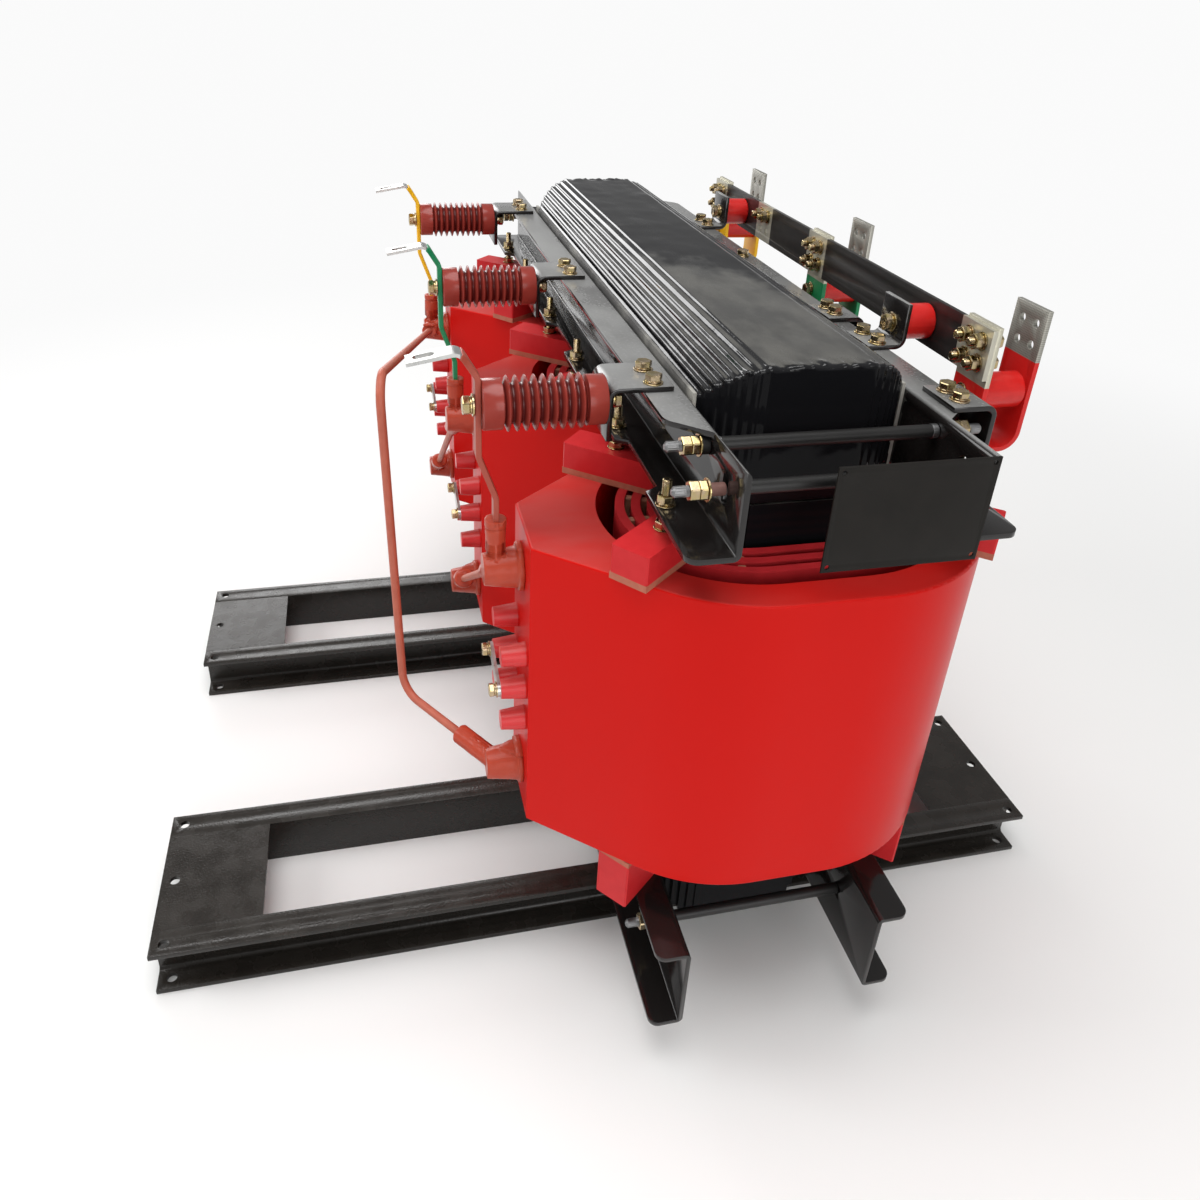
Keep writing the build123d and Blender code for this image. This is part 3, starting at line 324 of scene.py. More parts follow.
SKIN_GRAIN = 0.0021
SKIN_DRAWN = 4.0
SKIN_PASSES = 6
LIP_LENGTH = 0.016
skin = take_copy("upper_yoke")
draw_out(1.0 / SKIN_DRAWN)
soften(skin, SKIN_GRAIN, SKIN_PASSES)
draw_out(SKIN_DRAWN)
lip = skin.vertex_groups.new(name="lip")
for corner in skin.data.vertices:
    depth = yoke_high.x - abs(corner.co.x)
    if depth < LIP_LENGTH and corner.normal.z > 0.3:
        lip.add([corner.index], 1.0, "REPLACE")
lumpy(skin, "varnish_lip", 0.012, 0.0080, "lip")
lumpy(skin, "varnish_waves", 0.070, 0.0014)
bpy.ops.object.shade_smooth()
settle("upper_yoke_varnished", varnish)
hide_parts("upper_yoke")


# Strips of pressed insulating board keep the clamps off the yokes. Varnish has darkened them
# along the middle, and they are pale only towards their cut ends.
board = Finish("pressed_board", (0.30, 0.29, 0.26), 0.50)
fibre = board.cloud(160.0, 6.0, (0.3, 1.0, 1.0))
stained = board.cloud(9.0, 4.0, (1.0, 0.3, 0.3))
pale = board.mix(fibre, (0.26, 0.25, 0.22), (0.44, 0.43, 0.39))
soaked = board.mix(fibre, (0.05, 0.05, 0.05), (0.14, 0.135, 0.13))
strip_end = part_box("core_strips")[1].x
from_middle = board.maths("ABSOLUTE", board.along("X"), 0.0)
middle = board.ramp(from_middle, strip_end - 0.030, strip_end - 0.012, 1.0, 0.0)
stain = board.maths("MULTIPLY", middle, board.ramp(stained, 0.30, 0.55))
board.colour(board.mix(stain, pale, soaked))
board.relief(fibre, 0.15, 0.0006)
board.wear("core_strips")


# Low-voltage windings: foil layers with the ends sealed in red resin. Sticks of board in the
# air ducts keep the layers apart.
lv_resin = Finish("lv_end_resin", (0.42, 0.018, 0.022), 0.42, gloss=0.35)
pour = lv_resin.cloud(40.0, 5.0)
lv_resin.colour(lv_resin.mix(pour, (0.34, 0.012, 0.015), (0.54, 0.024, 0.030)))
lv_resin.relief(pour, 0.25, 0.0015)
lv_resin.wear("lv_coil_a", "lv_coil_b", "lv_coil_c")

OVAL_HALF = 0.048
STICK_WIDTH = 0.009
STICK_DEPTH = 0.0078
STICK_SHORT = 0.003
STICK_EDGE = 0.0010
STICK_TURNS = range(15, 180, 25)
DUCT_RADII = (0.104, 0.123)
limbs = {}
for phase in "abc":
    low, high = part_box(f"hv_coil_{phase}")
    limbs[phase] = (low.x + high.x) / 2
winding_low, winding_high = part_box("lv_coil_a")
winding_z = (winding_low.z + winding_high.z) / 2


def edge_bevel(offset):
    """Bevel every edge of the active object."""
    bpy.ops.object.mode_set(mode="EDIT")
    bpy.ops.mesh.select_all(action="SELECT")
    bpy.ops.mesh.bevel(offset=offset, segments=1)
    bpy.ops.object.mode_set(mode="OBJECT")
    bpy.ops.object.transform_apply(location=True, rotation=True, scale=True)
    return bpy.context.object


def join_up(pieces):
    """Join pieces into the first of them."""
    bpy.ops.object.select_all(action="DESELECT")
    for piece in pieces:
        piece.select_set(True)
    bpy.context.view_layer.objects.active = pieces[0]
    bpy.ops.object.join()
    return bpy.context.object


def set_out(name, pattern, places, finish):
    """Copy a modelled pattern to each place, given as matrices, as one piece."""
    copies = []
    for place in places:
        copy = pattern.copy()
        copy.data = pattern.data.copy()
        copy.data.transform(place)
        bpy.context.scene.collection.objects.link(copy)
        copies.append(copy)
    join_up(copies)
    return settle(name, finish)


bpy.ops.object.select_all(action="DESELECT")
bpy.ops.mesh.primitive_cube_add(size=1.0)
stick_length = winding_high.z - winding_low.z - 2 * STICK_SHORT
bpy.context.object.scale = (STICK_DEPTH, STICK_WIDTH, stick_length)
bpy.ops.object.transform_apply(location=True, rotation=True, scale=True)
stick = edge_bevel(STICK_EDGE)
stick_places = []
for limb_x in limbs.values():
    for radius in DUCT_RADII:
        for way in (-1, 1):
            for turn in STICK_TURNS:
                reach = radius * sin(radians(turn)) + OVAL_HALF
                place = (limb_x + radius * cos(radians(turn)), core_y + way * reach, winding_z)
                spin = Matrix.Rotation(radians(way * turn), 4, "Z")
                stick_places.append(Matrix.Translation(place) @ spin)
stick_board = Finish("stick_board", (0.32, 0.16, 0.08), 0.65)
stick_fibre = stick_board.cloud(140.0, 5.0)
stick_board.colour(stick_board.mix(stick_fibre, (0.26, 0.10, 0.06), (0.46, 0.26, 0.16)))
stick_board.relief(stick_fibre, 0.15, 0.0005)
set_out("duct_sticks", stick, stick_places, stick_board)
bpy.data.objects.remove(stick)


# High-voltage coils: wire cast in red epoxy in a smooth mould, with a flat nose for terminals.
# The sides have a satin gloss; the open ends are duller and dusty; the tap bosses are glossier and
# carry a painted highlight, a lighter pink in their colour.
hv_resin = Finish("hv_cast_resin", (0.55, 0.006, 0.004), 0.36, gloss=0.09)
cloudy = hv_resin.cloud(5.0, 4.0, (1.0, 1.0, 0.45))
grain = hv_resin.cloud(240.0, 4.0)
smear = hv_resin.cloud(22.0, 6.0, (1.0, 0.4, 1.0))
body = hv_resin.mix(cloudy, (0.51, 0.005, 0.003), (0.58, 0.008, 0.005))
BOSS_LENGTH = 0.0300
nose_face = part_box("hv_coil_a")[0].y + BOSS_LENGTH
boss = hv_resin.ramp(hv_resin.along("Y"), nose_face - 0.0020, nose_face - 0.0010, 1.0, 0.0)
# Painted highlight: the bosses are coloured a lighter, pinker red than the rest of the resin.
body = hv_resin.mix(hv_resin.maths("MULTIPLY", boss, 0.8), body, (0.60, 0.020, 0.024))
open_end = hv_resin.ramp(hv_resin.upward(), 0.6, 1.0)
film = hv_resin.maths("MULTIPLY", open_end, hv_resin.ramp(smear, 0.2, 0.7, 0.3, 0.75))
fading = hv_resin.ramp(hv_resin.along("Y"), -0.16, 0.10, 1.0, 0.25)
film = hv_resin.maths("MULTIPLY", film, fading)
hv_resin.colour(hv_resin.mix(film, body, (0.46, 0.075, 0.066)))
hv_resin.rough(hv_resin.ramp(cloudy, 0.3, 0.7, 0.30, 0.42))
hv_resin.shine(hv_resin.ramp(boss, 0.0, 1.0, 0.09, 0.45))
hv_resin.relief(grain, 0.03, 0.0004)
hv_resin.wear("hv_coil_a", "hv_coil_b", "hv_coil_c")


# Blocks of moulded red resin on brown rubber pads hold the coils off the clamps, below them and
# above them, where the press studs bear down on the blocks.
block_resin = Finish("block_resin", (0.54, 0.018, 0.022), 0.42, gloss=0.18)
mould = block_resin.cloud(70.0, 6.0)
block_resin.colour(block_resin.mix(mould, (0.48, 0.013, 0.016), (0.58, 0.024, 0.028)))
block_resin.relief(mould, 0.12, 0.0008)
block_resin.wear("lower_blocks", "upper_blocks")

pad_rubber = Finish("pad_rubber", (0.36, 0.11, 0.065), 0.62, gloss=0.3)
grit = pad_rubber.cloud(130.0, 5.0)
pad_rubber.colour(pad_rubber.mix(grit, (0.32, 0.085, 0.05), (0.48, 0.16, 0.10)))
pad_rubber.relief(grit, 0.2, 0.0006)
pad_rubber.wear("lower_pads", "upper_pads")


# Upper clamps: folded channels like the lower ones, notched at the limbs, with the same enamel.
# They grip the upper yoke, and their top flanges carry the brackets of both sides.
break_edges("upper_clamp_hv", clamp_enamel, CUT_EDGE)
break_edges("upper_clamp_lv", clamp_enamel, CUT_EDGE)


# Press studs: threaded rod with nuts in yellow-passivated zinc, screwed down through the
# clamp's bottom flange on to the blocks.
zinc = Finish("yellow_zinc", (0.56, 0.44, 0.20), 0.34, 1.0)
tint = zinc.cloud(120.0, 4.0)
zinc.colour(zinc.mix(zinc.ramp(tint, 0.35, 0.65), (0.45, 0.36, 0.17), (0.49, 0.38, 0.25)))
zinc.rough(zinc.ramp(tint, 0.3, 0.7, 0.15, 0.30))
zinc.relief(zinc.cloud(600.0, 2.0), 0.10, 0.0003)


def turned_disc(radius, depth, foot, sides, edge):
    """A washer or nut with broken edges, standing on the height given."""
    bpy.ops.object.select_all(action="DESELECT")
    middle = (0.0, 0.0, foot + depth / 2)
    bpy.ops.mesh.primitive_cylinder_add(vertices=sides, radius=radius, depth=depth, location=middle)
    return edge_bevel(edge)


def turned(profile, sides):
    """A turned piece: a disc drawn out ring by ring through steps of height and radius."""
    height, radius = profile[0]
    bpy.ops.object.select_all(action="DESELECT")
    bpy.ops.mesh.primitive_circle_add(
        vertices=sides, radius=radius, fill_type="NGON", location=(0.0, 0.0, height)
    )
    bpy.ops.object.mode_set(mode="EDIT")
    bpy.ops.mesh.select_all(action="SELECT")
    for next_height, next_radius in profile[1:]:
        rise = (0.0, 0.0, next_height - height)
        bpy.ops.mesh.extrude_region_move(TRANSFORM_OT_translate={"value": rise})
        bpy.ops.transform.resize(value=(next_radius / radius, next_radius / radius, 1.0))
        height, radius = next_height, next_radius
    bpy.ops.mesh.select_all(action="SELECT")
    bpy.ops.mesh.normals_make_consistent(inside=False)
    bpy.ops.object.mode_set(mode="OBJECT")
    bpy.ops.object.transform_apply(location=True, rotation=True, scale=True)
    return bpy.context.object


def thread(radius, foot, length, pitch):
    """A length of thread with a chamfered tip."""
    profile = [(foot, radius)]
    for turn in range(int(length / pitch)):
        profile.append((foot + (turn + 0.5) * pitch, radius * 0.87))
        profile.append((foot + (turn + 1.0) * pitch, radius))
    profile.append((profile[-1][0] + pitch / 2, radius * 0.76))
    return turned(profile, 14)


def washers(across):
    """A flat washer and a spring washer, standing on the origin."""
    flat = turned_disc(across * 0.64, across * 0.11, 0.0, 24, across * 0.02)
    spring = turned_disc(across * 0.51, across * 0.13, across * 0.11, 20, across * 0.035)
    return [flat, spring]


def standing(x, y, z):
    """Place a pattern upright."""
    return Matrix.Translation((x, y, z))


M10_ACROSS = 0.017
NUT_EDGE = 0.0008
STUD_RADIUS = 0.005
STUD_PITCH = 0.0015
STUD_TIP = 0.002
FOOT_WASHER_RADIUS = 0.0105
FOOT_WASHER_THICK = 0.0015
FOOT_WASHER_EDGE = 0.0003
FOOT_NUT = 0.0080
FLANGE_NUT = 0.0082
STUD_X = 0.0990
STUD_Y = 0.1660
CLAMP_THICK = 0.006
clamp_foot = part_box("upper_clamp_hv")[0].z
stud_foot, stud_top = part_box("press_studs")[0].z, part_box("press_studs")[1].z
m10_corner = M10_ACROSS / sqrt(3)
rod = thread(STUD_RADIUS, 0.0, stud_top - stud_foot - STUD_TIP, STUD_PITCH)
foot_nut = turned_disc(m10_corner, FOOT_NUT, FOOT_WASHER_THICK, 6, NUT_EDGE)
foot_washer = turned_disc(FOOT_WASHER_RADIUS, FOOT_WASHER_THICK, 0.0, 24, FOOT_WASHER_EDGE)
flange_set = washers(M10_ACROSS)
flange_set.append(turned_disc(m10_corner, FLANGE_NUT, M10_ACROSS * 0.24, 6, NUT_EDGE))
for ring in flange_set:
    ring.data.transform(Matrix.Translation((0.0, 0.0, clamp_foot + CLAMP_THICK - stud_foot)))
stud = join_up([rod, foot_nut, foot_washer, *flange_set])
stud_places = [
    standing(limb_x + way_x * STUD_X, core_y + way_y * STUD_Y, stud_foot)
    for limb_x in limbs.values()
    for way_x in (-1, 1)
    for way_y in (-1, 1)
]
studs = set_out("press_stud_sets", stud, stud_places, zinc)
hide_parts("press_studs")
bpy.data.objects.remove(stud)


# Tie rods draw the clamps together across the core. Each is sleeved in black tube between the
# webs and nutted outside them over a bush, with a bare turned end.
tube_black = Finish("rod_tube", (0.012, 0.012, 0.012), 0.40, gloss=0.35)
tube_grain = tube_black.cloud(150.0, 4.0, (1.0, 0.2, 1.0))
tube_black.colour(tube_black.mix(tube_grain, (0.009, 0.009, 0.009), (0.022, 0.021, 0.020)))
tube_black.relief(tube_grain, 0.10, 0.0005)

bush_brown = Finish("rod_bush", (0.18, 0.085, 0.07), 0.55, gloss=0.35)
bush_grain = bush_brown.cloud(170.0, 4.0)
bush_brown.colour(bush_brown.mix(bush_grain, (0.13, 0.06, 0.05), (0.22, 0.11, 0.09)))
bush_brown.relief(bush_grain, 0.12, 0.0004)

bare_steel = Finish("bare_steel", (0.40, 0.40, 0.40), 0.42, 1.0)
turning = bare_steel.cloud(300.0, 3.0, (1.0, 6.0, 1.0))
bare_steel.colour(bare_steel.mix(turning, (0.20, 0.20, 0.205), (0.34, 0.34, 0.34)))
bare_steel.relief(turning, 0.12, 0.0003)


def facing_hv(x, y, z):
    """Place a pattern pointing to the high-voltage side."""
    return Matrix.Translation((x, y, z)) @ Matrix.Rotation(radians(90), 4, "X")


def facing_lv(x, y, z):
    """Place a pattern pointing to the low-voltage side."""
    return Matrix.Translation((x, y, z)) @ Matrix.Rotation(radians(-90), 4, "X")


M12_ACROSS = 0.019
ROD_RADIUS = 0.006
ROD_PITCH = 0.00175
ROD_NUT = 0.010
ROD_NUT_EDGE = 0.0010
ROD_WASHER_RADIUS = 0.0122
ROD_WASHER_THICK = 0.0018
ROD_WASHER_EDGE = 0.0004
NUT_GAP = 0.0002
TIP_THREAD = 0.006
TIP_LENGTH = 0.0165
TIP_ROUND = 0.0026
TUBE_RADIUS = 0.0075
TUBE_EDGE = 0.0006
FERRULE_LENGTH = 0.007
FERRULE_WALL = 0.0004
BUSH_EDGE = 0.0008
bush_sizes = {"upper": (0.010, 0.009), "slot": (0.0067, 0.017), "lower": (0.010, 0.009)}
NUT_CORNER = M12_ACROSS / sqrt(3)
web_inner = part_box("core_strips")[1].y - core_y
web_outer = web_inner + CLAMP_THICK
tube = turned_disc(TUBE_RADIUS, 2 * web_inner, -web_inner, 20, TUBE_EDGE)
nut_foot = ROD_WASHER_THICK + NUT_GAP
rod_nut = join_up(
    [
        turned_disc(ROD_WASHER_RADIUS, ROD_WASHER_THICK, 0.0, 24, ROD_WASHER_EDGE),
        turned_disc(NUT_CORNER, ROD_NUT - nut_foot - NUT_GAP, nut_foot, 6, ROD_NUT_EDGE),
        turned_disc(NUT_CORNER, ROD_NUT - 2 * NUT_GAP, ROD_NUT + NUT_GAP, 6, ROD_NUT_EDGE),
    ]
)
tip = join_up(
    [
        thread(ROD_RADIUS, 0.0, TIP_THREAD, ROD_PITCH),
        turned_disc(ROD_RADIUS * 0.93, TIP_LENGTH, 0.0005, 20, TIP_ROUND),
    ]
)
tube_places, nut_places, tip_places, ferrule_places = [], [], [], []
for kind, (bush_radius, bush_length) in bush_sizes.items():
    rods_low, rods_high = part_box(f"{kind}_tie_rods")
    rod_x = (rods_high.x - rods_low.x) / 2 - NUT_CORNER
    rod_z = (rods_high.z + rods_low.z) / 2
    bush = turned_disc(bush_radius, bush_length, 0.0, 20, BUSH_EDGE)
    bush_places = []
    for way in (-1, 1):
        tube_places.append(facing_lv(way * rod_x, core_y, rod_z))
        for point, side in ((facing_hv, -1), (facing_lv, 1)):
            bushed = kind != "slot" or side < 0
            if bushed:
                bush_places.append(point(way * rod_x, core_y + side * web_outer, rod_z))
            nut_y = core_y + side * (web_outer + (bush_length if bushed else 0.0))
            nut_places.append(point(way * rod_x, nut_y, rod_z))
            tip_places.append(point(way * rod_x, nut_y + side * 2 * ROD_NUT, rod_z))
            if kind == "upper":
                inward = facing_lv if side < 0 else facing_hv
                ferrule_places.append(inward(way * rod_x, core_y + side * web_inner, rod_z))
    bush_finish = bush_brown if kind == "slot" else tube_black
    set_out(f"{kind}_rod_bushes", bush, bush_places, bush_finish)
    bpy.data.objects.remove(bush)
ferrule = turned_disc(TUBE_RADIUS + FERRULE_WALL, FERRULE_LENGTH, 0.0, 20, TUBE_EDGE)
set_out("tube_ferrules", ferrule, ferrule_places, bare_steel)
tubes = set_out("tie_rod_tubes", tube, tube_places, tube_black)
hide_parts("upper_tie_rods", "slot_tie_rods", "lower_tie_rods")
set_out("tie_rod_nuts", rod_nut, nut_places, zinc)
set_out("tie_rod_tips", tip, tip_places, bare_steel)
for pattern in (tube, rod_nut, tip, ferrule):
    bpy.data.objects.remove(pattern)


# High-voltage brackets: angles folded from flat bar, each held by two bolts to the clamp's
# top flange, with the insulator's own bolt through the hanging leg.
def head_set(across):
    """Washers and a bolt head, rounded off on top, standing up from the origin."""
    head = turned_disc(across / sqrt(3), across * 0.40, across * 0.24, 6, across * 0.05)
    bpy.ops.object.mode_set(mode="EDIT")
    bpy.ops.mesh.select_mode(type="FACE")
    bpy.ops.mesh.select_all(action="DESELECT")
    bpy.ops.object.mode_set(mode="OBJECT")
    for face in head.data.polygons:
        face.select = face.normal.z > 0.99
    bpy.ops.object.mode_set(mode="EDIT")
    bpy.ops.mesh.inset(thickness=across * 0.09, depth=across * 0.025)
    bpy.ops.mesh.inset(thickness=across * 0.10, depth=-across * 0.02)
    bpy.ops.mesh.select_mode(type="VERT")
    bpy.ops.object.mode_set(mode="OBJECT")
    return join_up([*washers(across), head])


HV_BOLT_ROW = 0.158
HV_BOLTS_ACROSS = (-0.038, 0.002)
break_edges("hv_brackets", clamp_enamel, CUT_EDGE)
foot_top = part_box("hv_brackets")[1].z
m10_head = head_set(M10_ACROSS)
m12_head = head_set(M12_ACROSS)
foot_places = [
    standing(limb_x + across, core_y - HV_BOLT_ROW, foot_top)
    for limb_x in limbs.values()
    for across in HV_BOLTS_ACROSS
]
set_out("hv_bracket_bolts", m10_head, foot_places, zinc)


# Post insulators: turned posts of glossy brown-red resin with thin rounded sheds between plain
# caps, and one bolt at each end.
POST_SHIFT = -0.004
post_low, post_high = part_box("hv_insulators")
post_z = (post_low.z + post_high.z) / 2
SHEDS = 9
SHED_RADIUS = 0.030
SHED_ROOT = 0.0215
CAP_RADIUS = 0.0275
CAP_LENGTH = 0.022
CAP_EDGE = 0.0012
POST_SIDES = 36
LUG_STACK = 0.0077
post_length = post_high.y - post_low.y
pitch = (post_length - 2 * CAP_LENGTH) / SHEDS
post_resin = Finish("post_resin", (0.24, 0.036, 0.026), 0.22)
swirl = post_resin.cloud(60.0, 4.0)
from_cap = post_resin.maths("SUBTRACT", post_resin.along("Y"), post_low.y + CAP_LENGTH)
rib = post_resin.maths("DIVIDE", from_cap, pitch)
past_cap = post_resin.ramp(rib, 0.0, 0.1)
ribbed = post_resin.maths("MULTIPLY", past_cap, post_resin.ramp(rib, SHEDS - 0.1, SHEDS, 1.0, 0.0))
off_rim = post_resin.maths("SUBTRACT", post_resin.maths("FRACT", rib, 0.0), 0.5)
# Painted shade: the resin is coloured darker in the grooves between the sheds and left red at their
# rims.
painted_groove_shade = post_resin.ramp(post_resin.maths("ABSOLUTE", off_rim, 0.0), 0.15, 0.38)
painted_groove_shade = post_resin.maths("MULTIPLY", painted_groove_shade, ribbed)
rim_red = post_resin.mix(swirl, (0.24, 0.030, 0.022), (0.32, 0.048, 0.035))
post_resin.colour(post_resin.mix(painted_groove_shade, rim_red, (0.080, 0.008, 0.007)))
post_resin.shine(post_resin.ramp(post_resin.upward(), -0.3, 0.6, 0.05, 0.36))
post_resin.relief(swirl, 0.05, 0.0006)
shed_shape = (
    (0.00, SHED_ROOT),
    (0.16, SHED_ROOT + 0.0006),
    (0.32, SHED_RADIUS - 0.0034),
    (0.41, SHED_RADIUS - 0.0009),
    (0.50, SHED_RADIUS),
    (0.59, SHED_RADIUS - 0.0009),
    (0.68, SHED_RADIUS - 0.0034),
    (0.84, SHED_ROOT + 0.0006),
)
cap_face = CAP_RADIUS - CAP_EDGE
profile = [(0.0, cap_face), (CAP_EDGE, CAP_RADIUS), (CAP_LENGTH - CAP_EDGE, CAP_RADIUS)]
for shed in range(SHEDS):
    for share, radius in shed_shape:
        profile.append((CAP_LENGTH + (shed + share) * pitch, radius))
far_cap = post_length - CAP_LENGTH
profile.append((far_cap, SHED_ROOT))
profile.append((far_cap + CAP_EDGE, CAP_RADIUS))
profile.append((post_length - CAP_EDGE, CAP_RADIUS))
profile.append((post_length, cap_face))
post = turned(profile, POST_SIDES)
bpy.ops.object.shade_smooth_by_angle(angle=radians(50))
post_places = [facing_lv(limb_x + POST_SHIFT, post_low.y, post_z) for limb_x in limbs.values()]
posts = set_out("hv_posts_turned", post, post_places, post_resin)
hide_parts("hv_insulators")
bpy.data.objects.remove(post)
outer_places = [
    facing_hv(limb_x + POST_SHIFT, post_low.y - LUG_STACK, post_z) for limb_x in limbs.values()
]
set_out("post_outer_bolts", m12_head, outer_places, zinc)
inner_places = [
    facing_lv(limb_x + POST_SHIFT, post_high.y + CLAMP_THICK, post_z) for limb_x in limbs.values()
]
set_out("post_inner_bolts", m12_head, inner_places, zinc)


# High-voltage leads: flat tinned bars, each bolted to its post and bare at the slotted lug.
# Below the lug they are in shrink sleeve, in the colour of the phase, down to the boot.
tin = Finish("tinned_copper", (0.62, 0.62, 0.60), 0.30, 1.0)
smear = tin.cloud(80.0, 6.0, (1.0, 1.0, 0.4))
tin.colour(tin.mix(smear, (0.42, 0.42, 0.41), (0.58, 0.58, 0.56)))
tin.rough(tin.ramp(smear, 0.3, 0.7, 0.26, 0.46))
tin.relief(smear, 0.10, 0.0004)
tin.wear("hv_lead_a", "hv_lead_b", "hv_lead_c")

SLEEVE_WALL = 0.0012
SLEEVE_ROUND = 0.0030
SLEEVE_OUT = 0.024
SLEEVE_RISE = 0.050
SLEEVE_CUT = (0.0, -0.80, 0.60)
sleeve_colours = {"a": (0.92, 0.52, 0.008), "b": (0.008, 0.24, 0.090), "c": (0.38, 0.070, 0.042)}
for phase, colour in sleeve_colours.items():
    sleeve_finish = Finish(f"shrink_sleeve_{phase}", colour, 0.45, gloss=0.4)
    wrinkle = sleeve_finish.cloud(60.0, 3.0, (1.0, 1.0, 0.5))
    sleeve_finish.colour(sleeve_finish.mix(wrinkle, tuple(part * 0.88 for part in colour), colour))
    sleeve_finish.relief(wrinkle, 0.12, 0.0010)
    sleeve = take_copy(f"hv_lead_{phase}")
    bpy.ops.object.mode_set(mode="EDIT")
    bpy.ops.mesh.select_all(action="SELECT")
    bpy.ops.mesh.bisect(
        plane_co=(0.0, post_low.y - SLEEVE_OUT, post_z + SLEEVE_RISE),
        plane_no=SLEEVE_CUT,
        clear_outer=True,
        use_fill=True,
    )
    bpy.ops.mesh.select_all(action="SELECT")
    bpy.ops.transform.shrink_fatten(value=SLEEVE_WALL, use_even_offset=True)
    bpy.ops.object.mode_set(mode="OBJECT")
    rounding = sleeve.modifiers.new("rounded_edges", "BEVEL")
    rounding.width = SLEEVE_ROUND
    rounding.segments = 4
    rounding.angle_limit = radians(50)
    apply_all(sleeve)
    bpy.ops.object.shade_smooth_by_angle(angle=radians(40))
    settle(f"shrink_sleeve_{phase}", sleeve_finish)


# Rubber boots, moulded in one piece with their necks and pushed over the coil terminals.
# Their edges are soft and their joints are filled out by the mould.
boot_rubber = Finish("boot_rubber", (0.42, 0.060, 0.030), 0.28, gloss=0.26)
bloom = boot_rubber.cloud(45.0, 5.0)
boot_rubber.colour(boot_rubber.mix(bloom, (0.36, 0.042, 0.020), (0.47, 0.068, 0.034)))
boot_rubber.relief(bloom, 0.12, 0.0008)
BOOT_GRAIN = 0.0016
BOOT_PASSES = 5
neck_bands = {"hv_top_boots": (0.040, 0.010), "hv_bottom_boots": (0.030, 0.004)}
for node_name, (band_foot, band_head) in neck_bands.items():
    boots = take_copy(node_name)
    soften(boots, BOOT_GRAIN, BOOT_PASSES)
    necks = boots.vertex_groups.new(name="necks")
    neck_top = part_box(node_name)[1].z
    for corner in boots.data.vertices:
        if band_head < neck_top - corner.co.z < band_foot:
            necks.add([corner.index], 1.0, "REPLACE")
    lumpy(boots, f"{node_name}_swell", 0.060, 0.0050, "necks", 0.0)
    lumpy(boots, f"{node_name}_creases", 0.013, 0.0008)
    bpy.ops.object.shade_smooth()
    settle(f"{node_name}_moulded", boot_rubber)
    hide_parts(node_name)


# Delta links: copper rods in orange-brown insulating sleeve, pushed into the necks of the boots,
# each from the head of one coil to the foot of another.
link_sleeve = Finish("link_sleeve", (0.44, 0.090, 0.045), 0.46, gloss=0.4)
drawn = link_sleeve.cloud(70.0, 4.0)
link_sleeve.colour(link_sleeve.mix(drawn, (0.36, 0.075, 0.042), (0.50, 0.13, 0.078)))
link_sleeve.relief(drawn, 0.12, 0.0006)
link_sleeve.wear("delta_links_short", "delta_link_long")


# Tap links: tinned straps, one to each coil, across the middle pair of tap bosses.
# A zinc bolt at each end screws into its boss.
tin.wear("tap_links")
TAP_ACROSS = 0.015
TAP_HALF = 0.030
TAP_RISE = 0.0075
strap_low, strap_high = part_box("tap_links")
strap_z = (strap_low.z + strap_high.z) / 2
tap_places = []
for limb_x in limbs.values():
    tap_places.append(facing_hv(limb_x - TAP_HALF, strap_low.y, strap_z + TAP_RISE))
    tap_places.append(facing_hv(limb_x + TAP_HALF, strap_low.y, strap_z - TAP_RISE))
tap_head = head_set(TAP_ACROSS)
set_out("tap_link_bolts", tap_head, tap_places, zinc)
bpy.data.objects.remove(tap_head)


# Low-voltage phase bars: tinned copper, left bare and knurled round the terminal holes and
# painted below in the colour of the phase.
BAR_EDGE = 0.0009
bar_colours = {"a": (0.92, 0.53, 0.008), "b": (0.010, 0.22, 0.080), "c": (0.60, 0.012, 0.010)}
TIN_SHEEN = 0.6
PHASE_BARE = 0.062
PAINT_BLUR = 0.0005
for phase, colour in bar_colours.items():
    bar_finish = Finish(f"phase_bar_{phase}", colour, 0.40, gloss=0.35)
    bar_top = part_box(f"lv_phase_bar_{phase}")[1].z
    line = bar_top - PHASE_BARE
    bare = bar_finish.ramp(bar_finish.along("Z"), line - PAINT_BLUR, line + PAINT_BLUR)
    rubbed = bar_finish.cloud(80.0, 6.0)
    flat_place = bar_finish.put("ShaderNodeMapping", Vector=bar_finish.place, Scale=(1.0, 0.0, 1.0))
    dots = bar_finish.put(
        "ShaderNodeTexVoronoi", Vector=flat_place.outputs["Vector"], Scale=380.0, Randomness=0.0
    )
    metal = bar_finish.mix(rubbed, (0.32, 0.31, 0.275), (0.42, 0.41, 0.365))
    # Painted shade: the pits of the knurl are coloured darker than the tin round them.
    knurl_pit_shade = bar_finish.ramp(dots.outputs["Distance"], 0.15, 0.40, 0.55, 0.0)
    metal = bar_finish.mix(knurl_pit_shade, metal, (0.08, 0.078, 0.07))
    paint = bar_finish.mix(rubbed, tuple(part * 0.85 for part in colour), colour)
    bar_finish.colour(bar_finish.mix(bare, paint, metal))
    bar_finish.metallic(bar_finish.maths("MULTIPLY", bare, TIN_SHEEN))
    knurl = bar_finish.maths("MULTIPLY", dots.outputs["Distance"], bare)
    ripple = bar_finish.maths("MULTIPLY", rubbed, 0.2)
    bar_finish.relief(bar_finish.maths("ADD", knurl, ripple), 0.25, 0.0010)
    break_edges(f"lv_phase_bar_{phase}", bar_finish, BAR_EDGE)


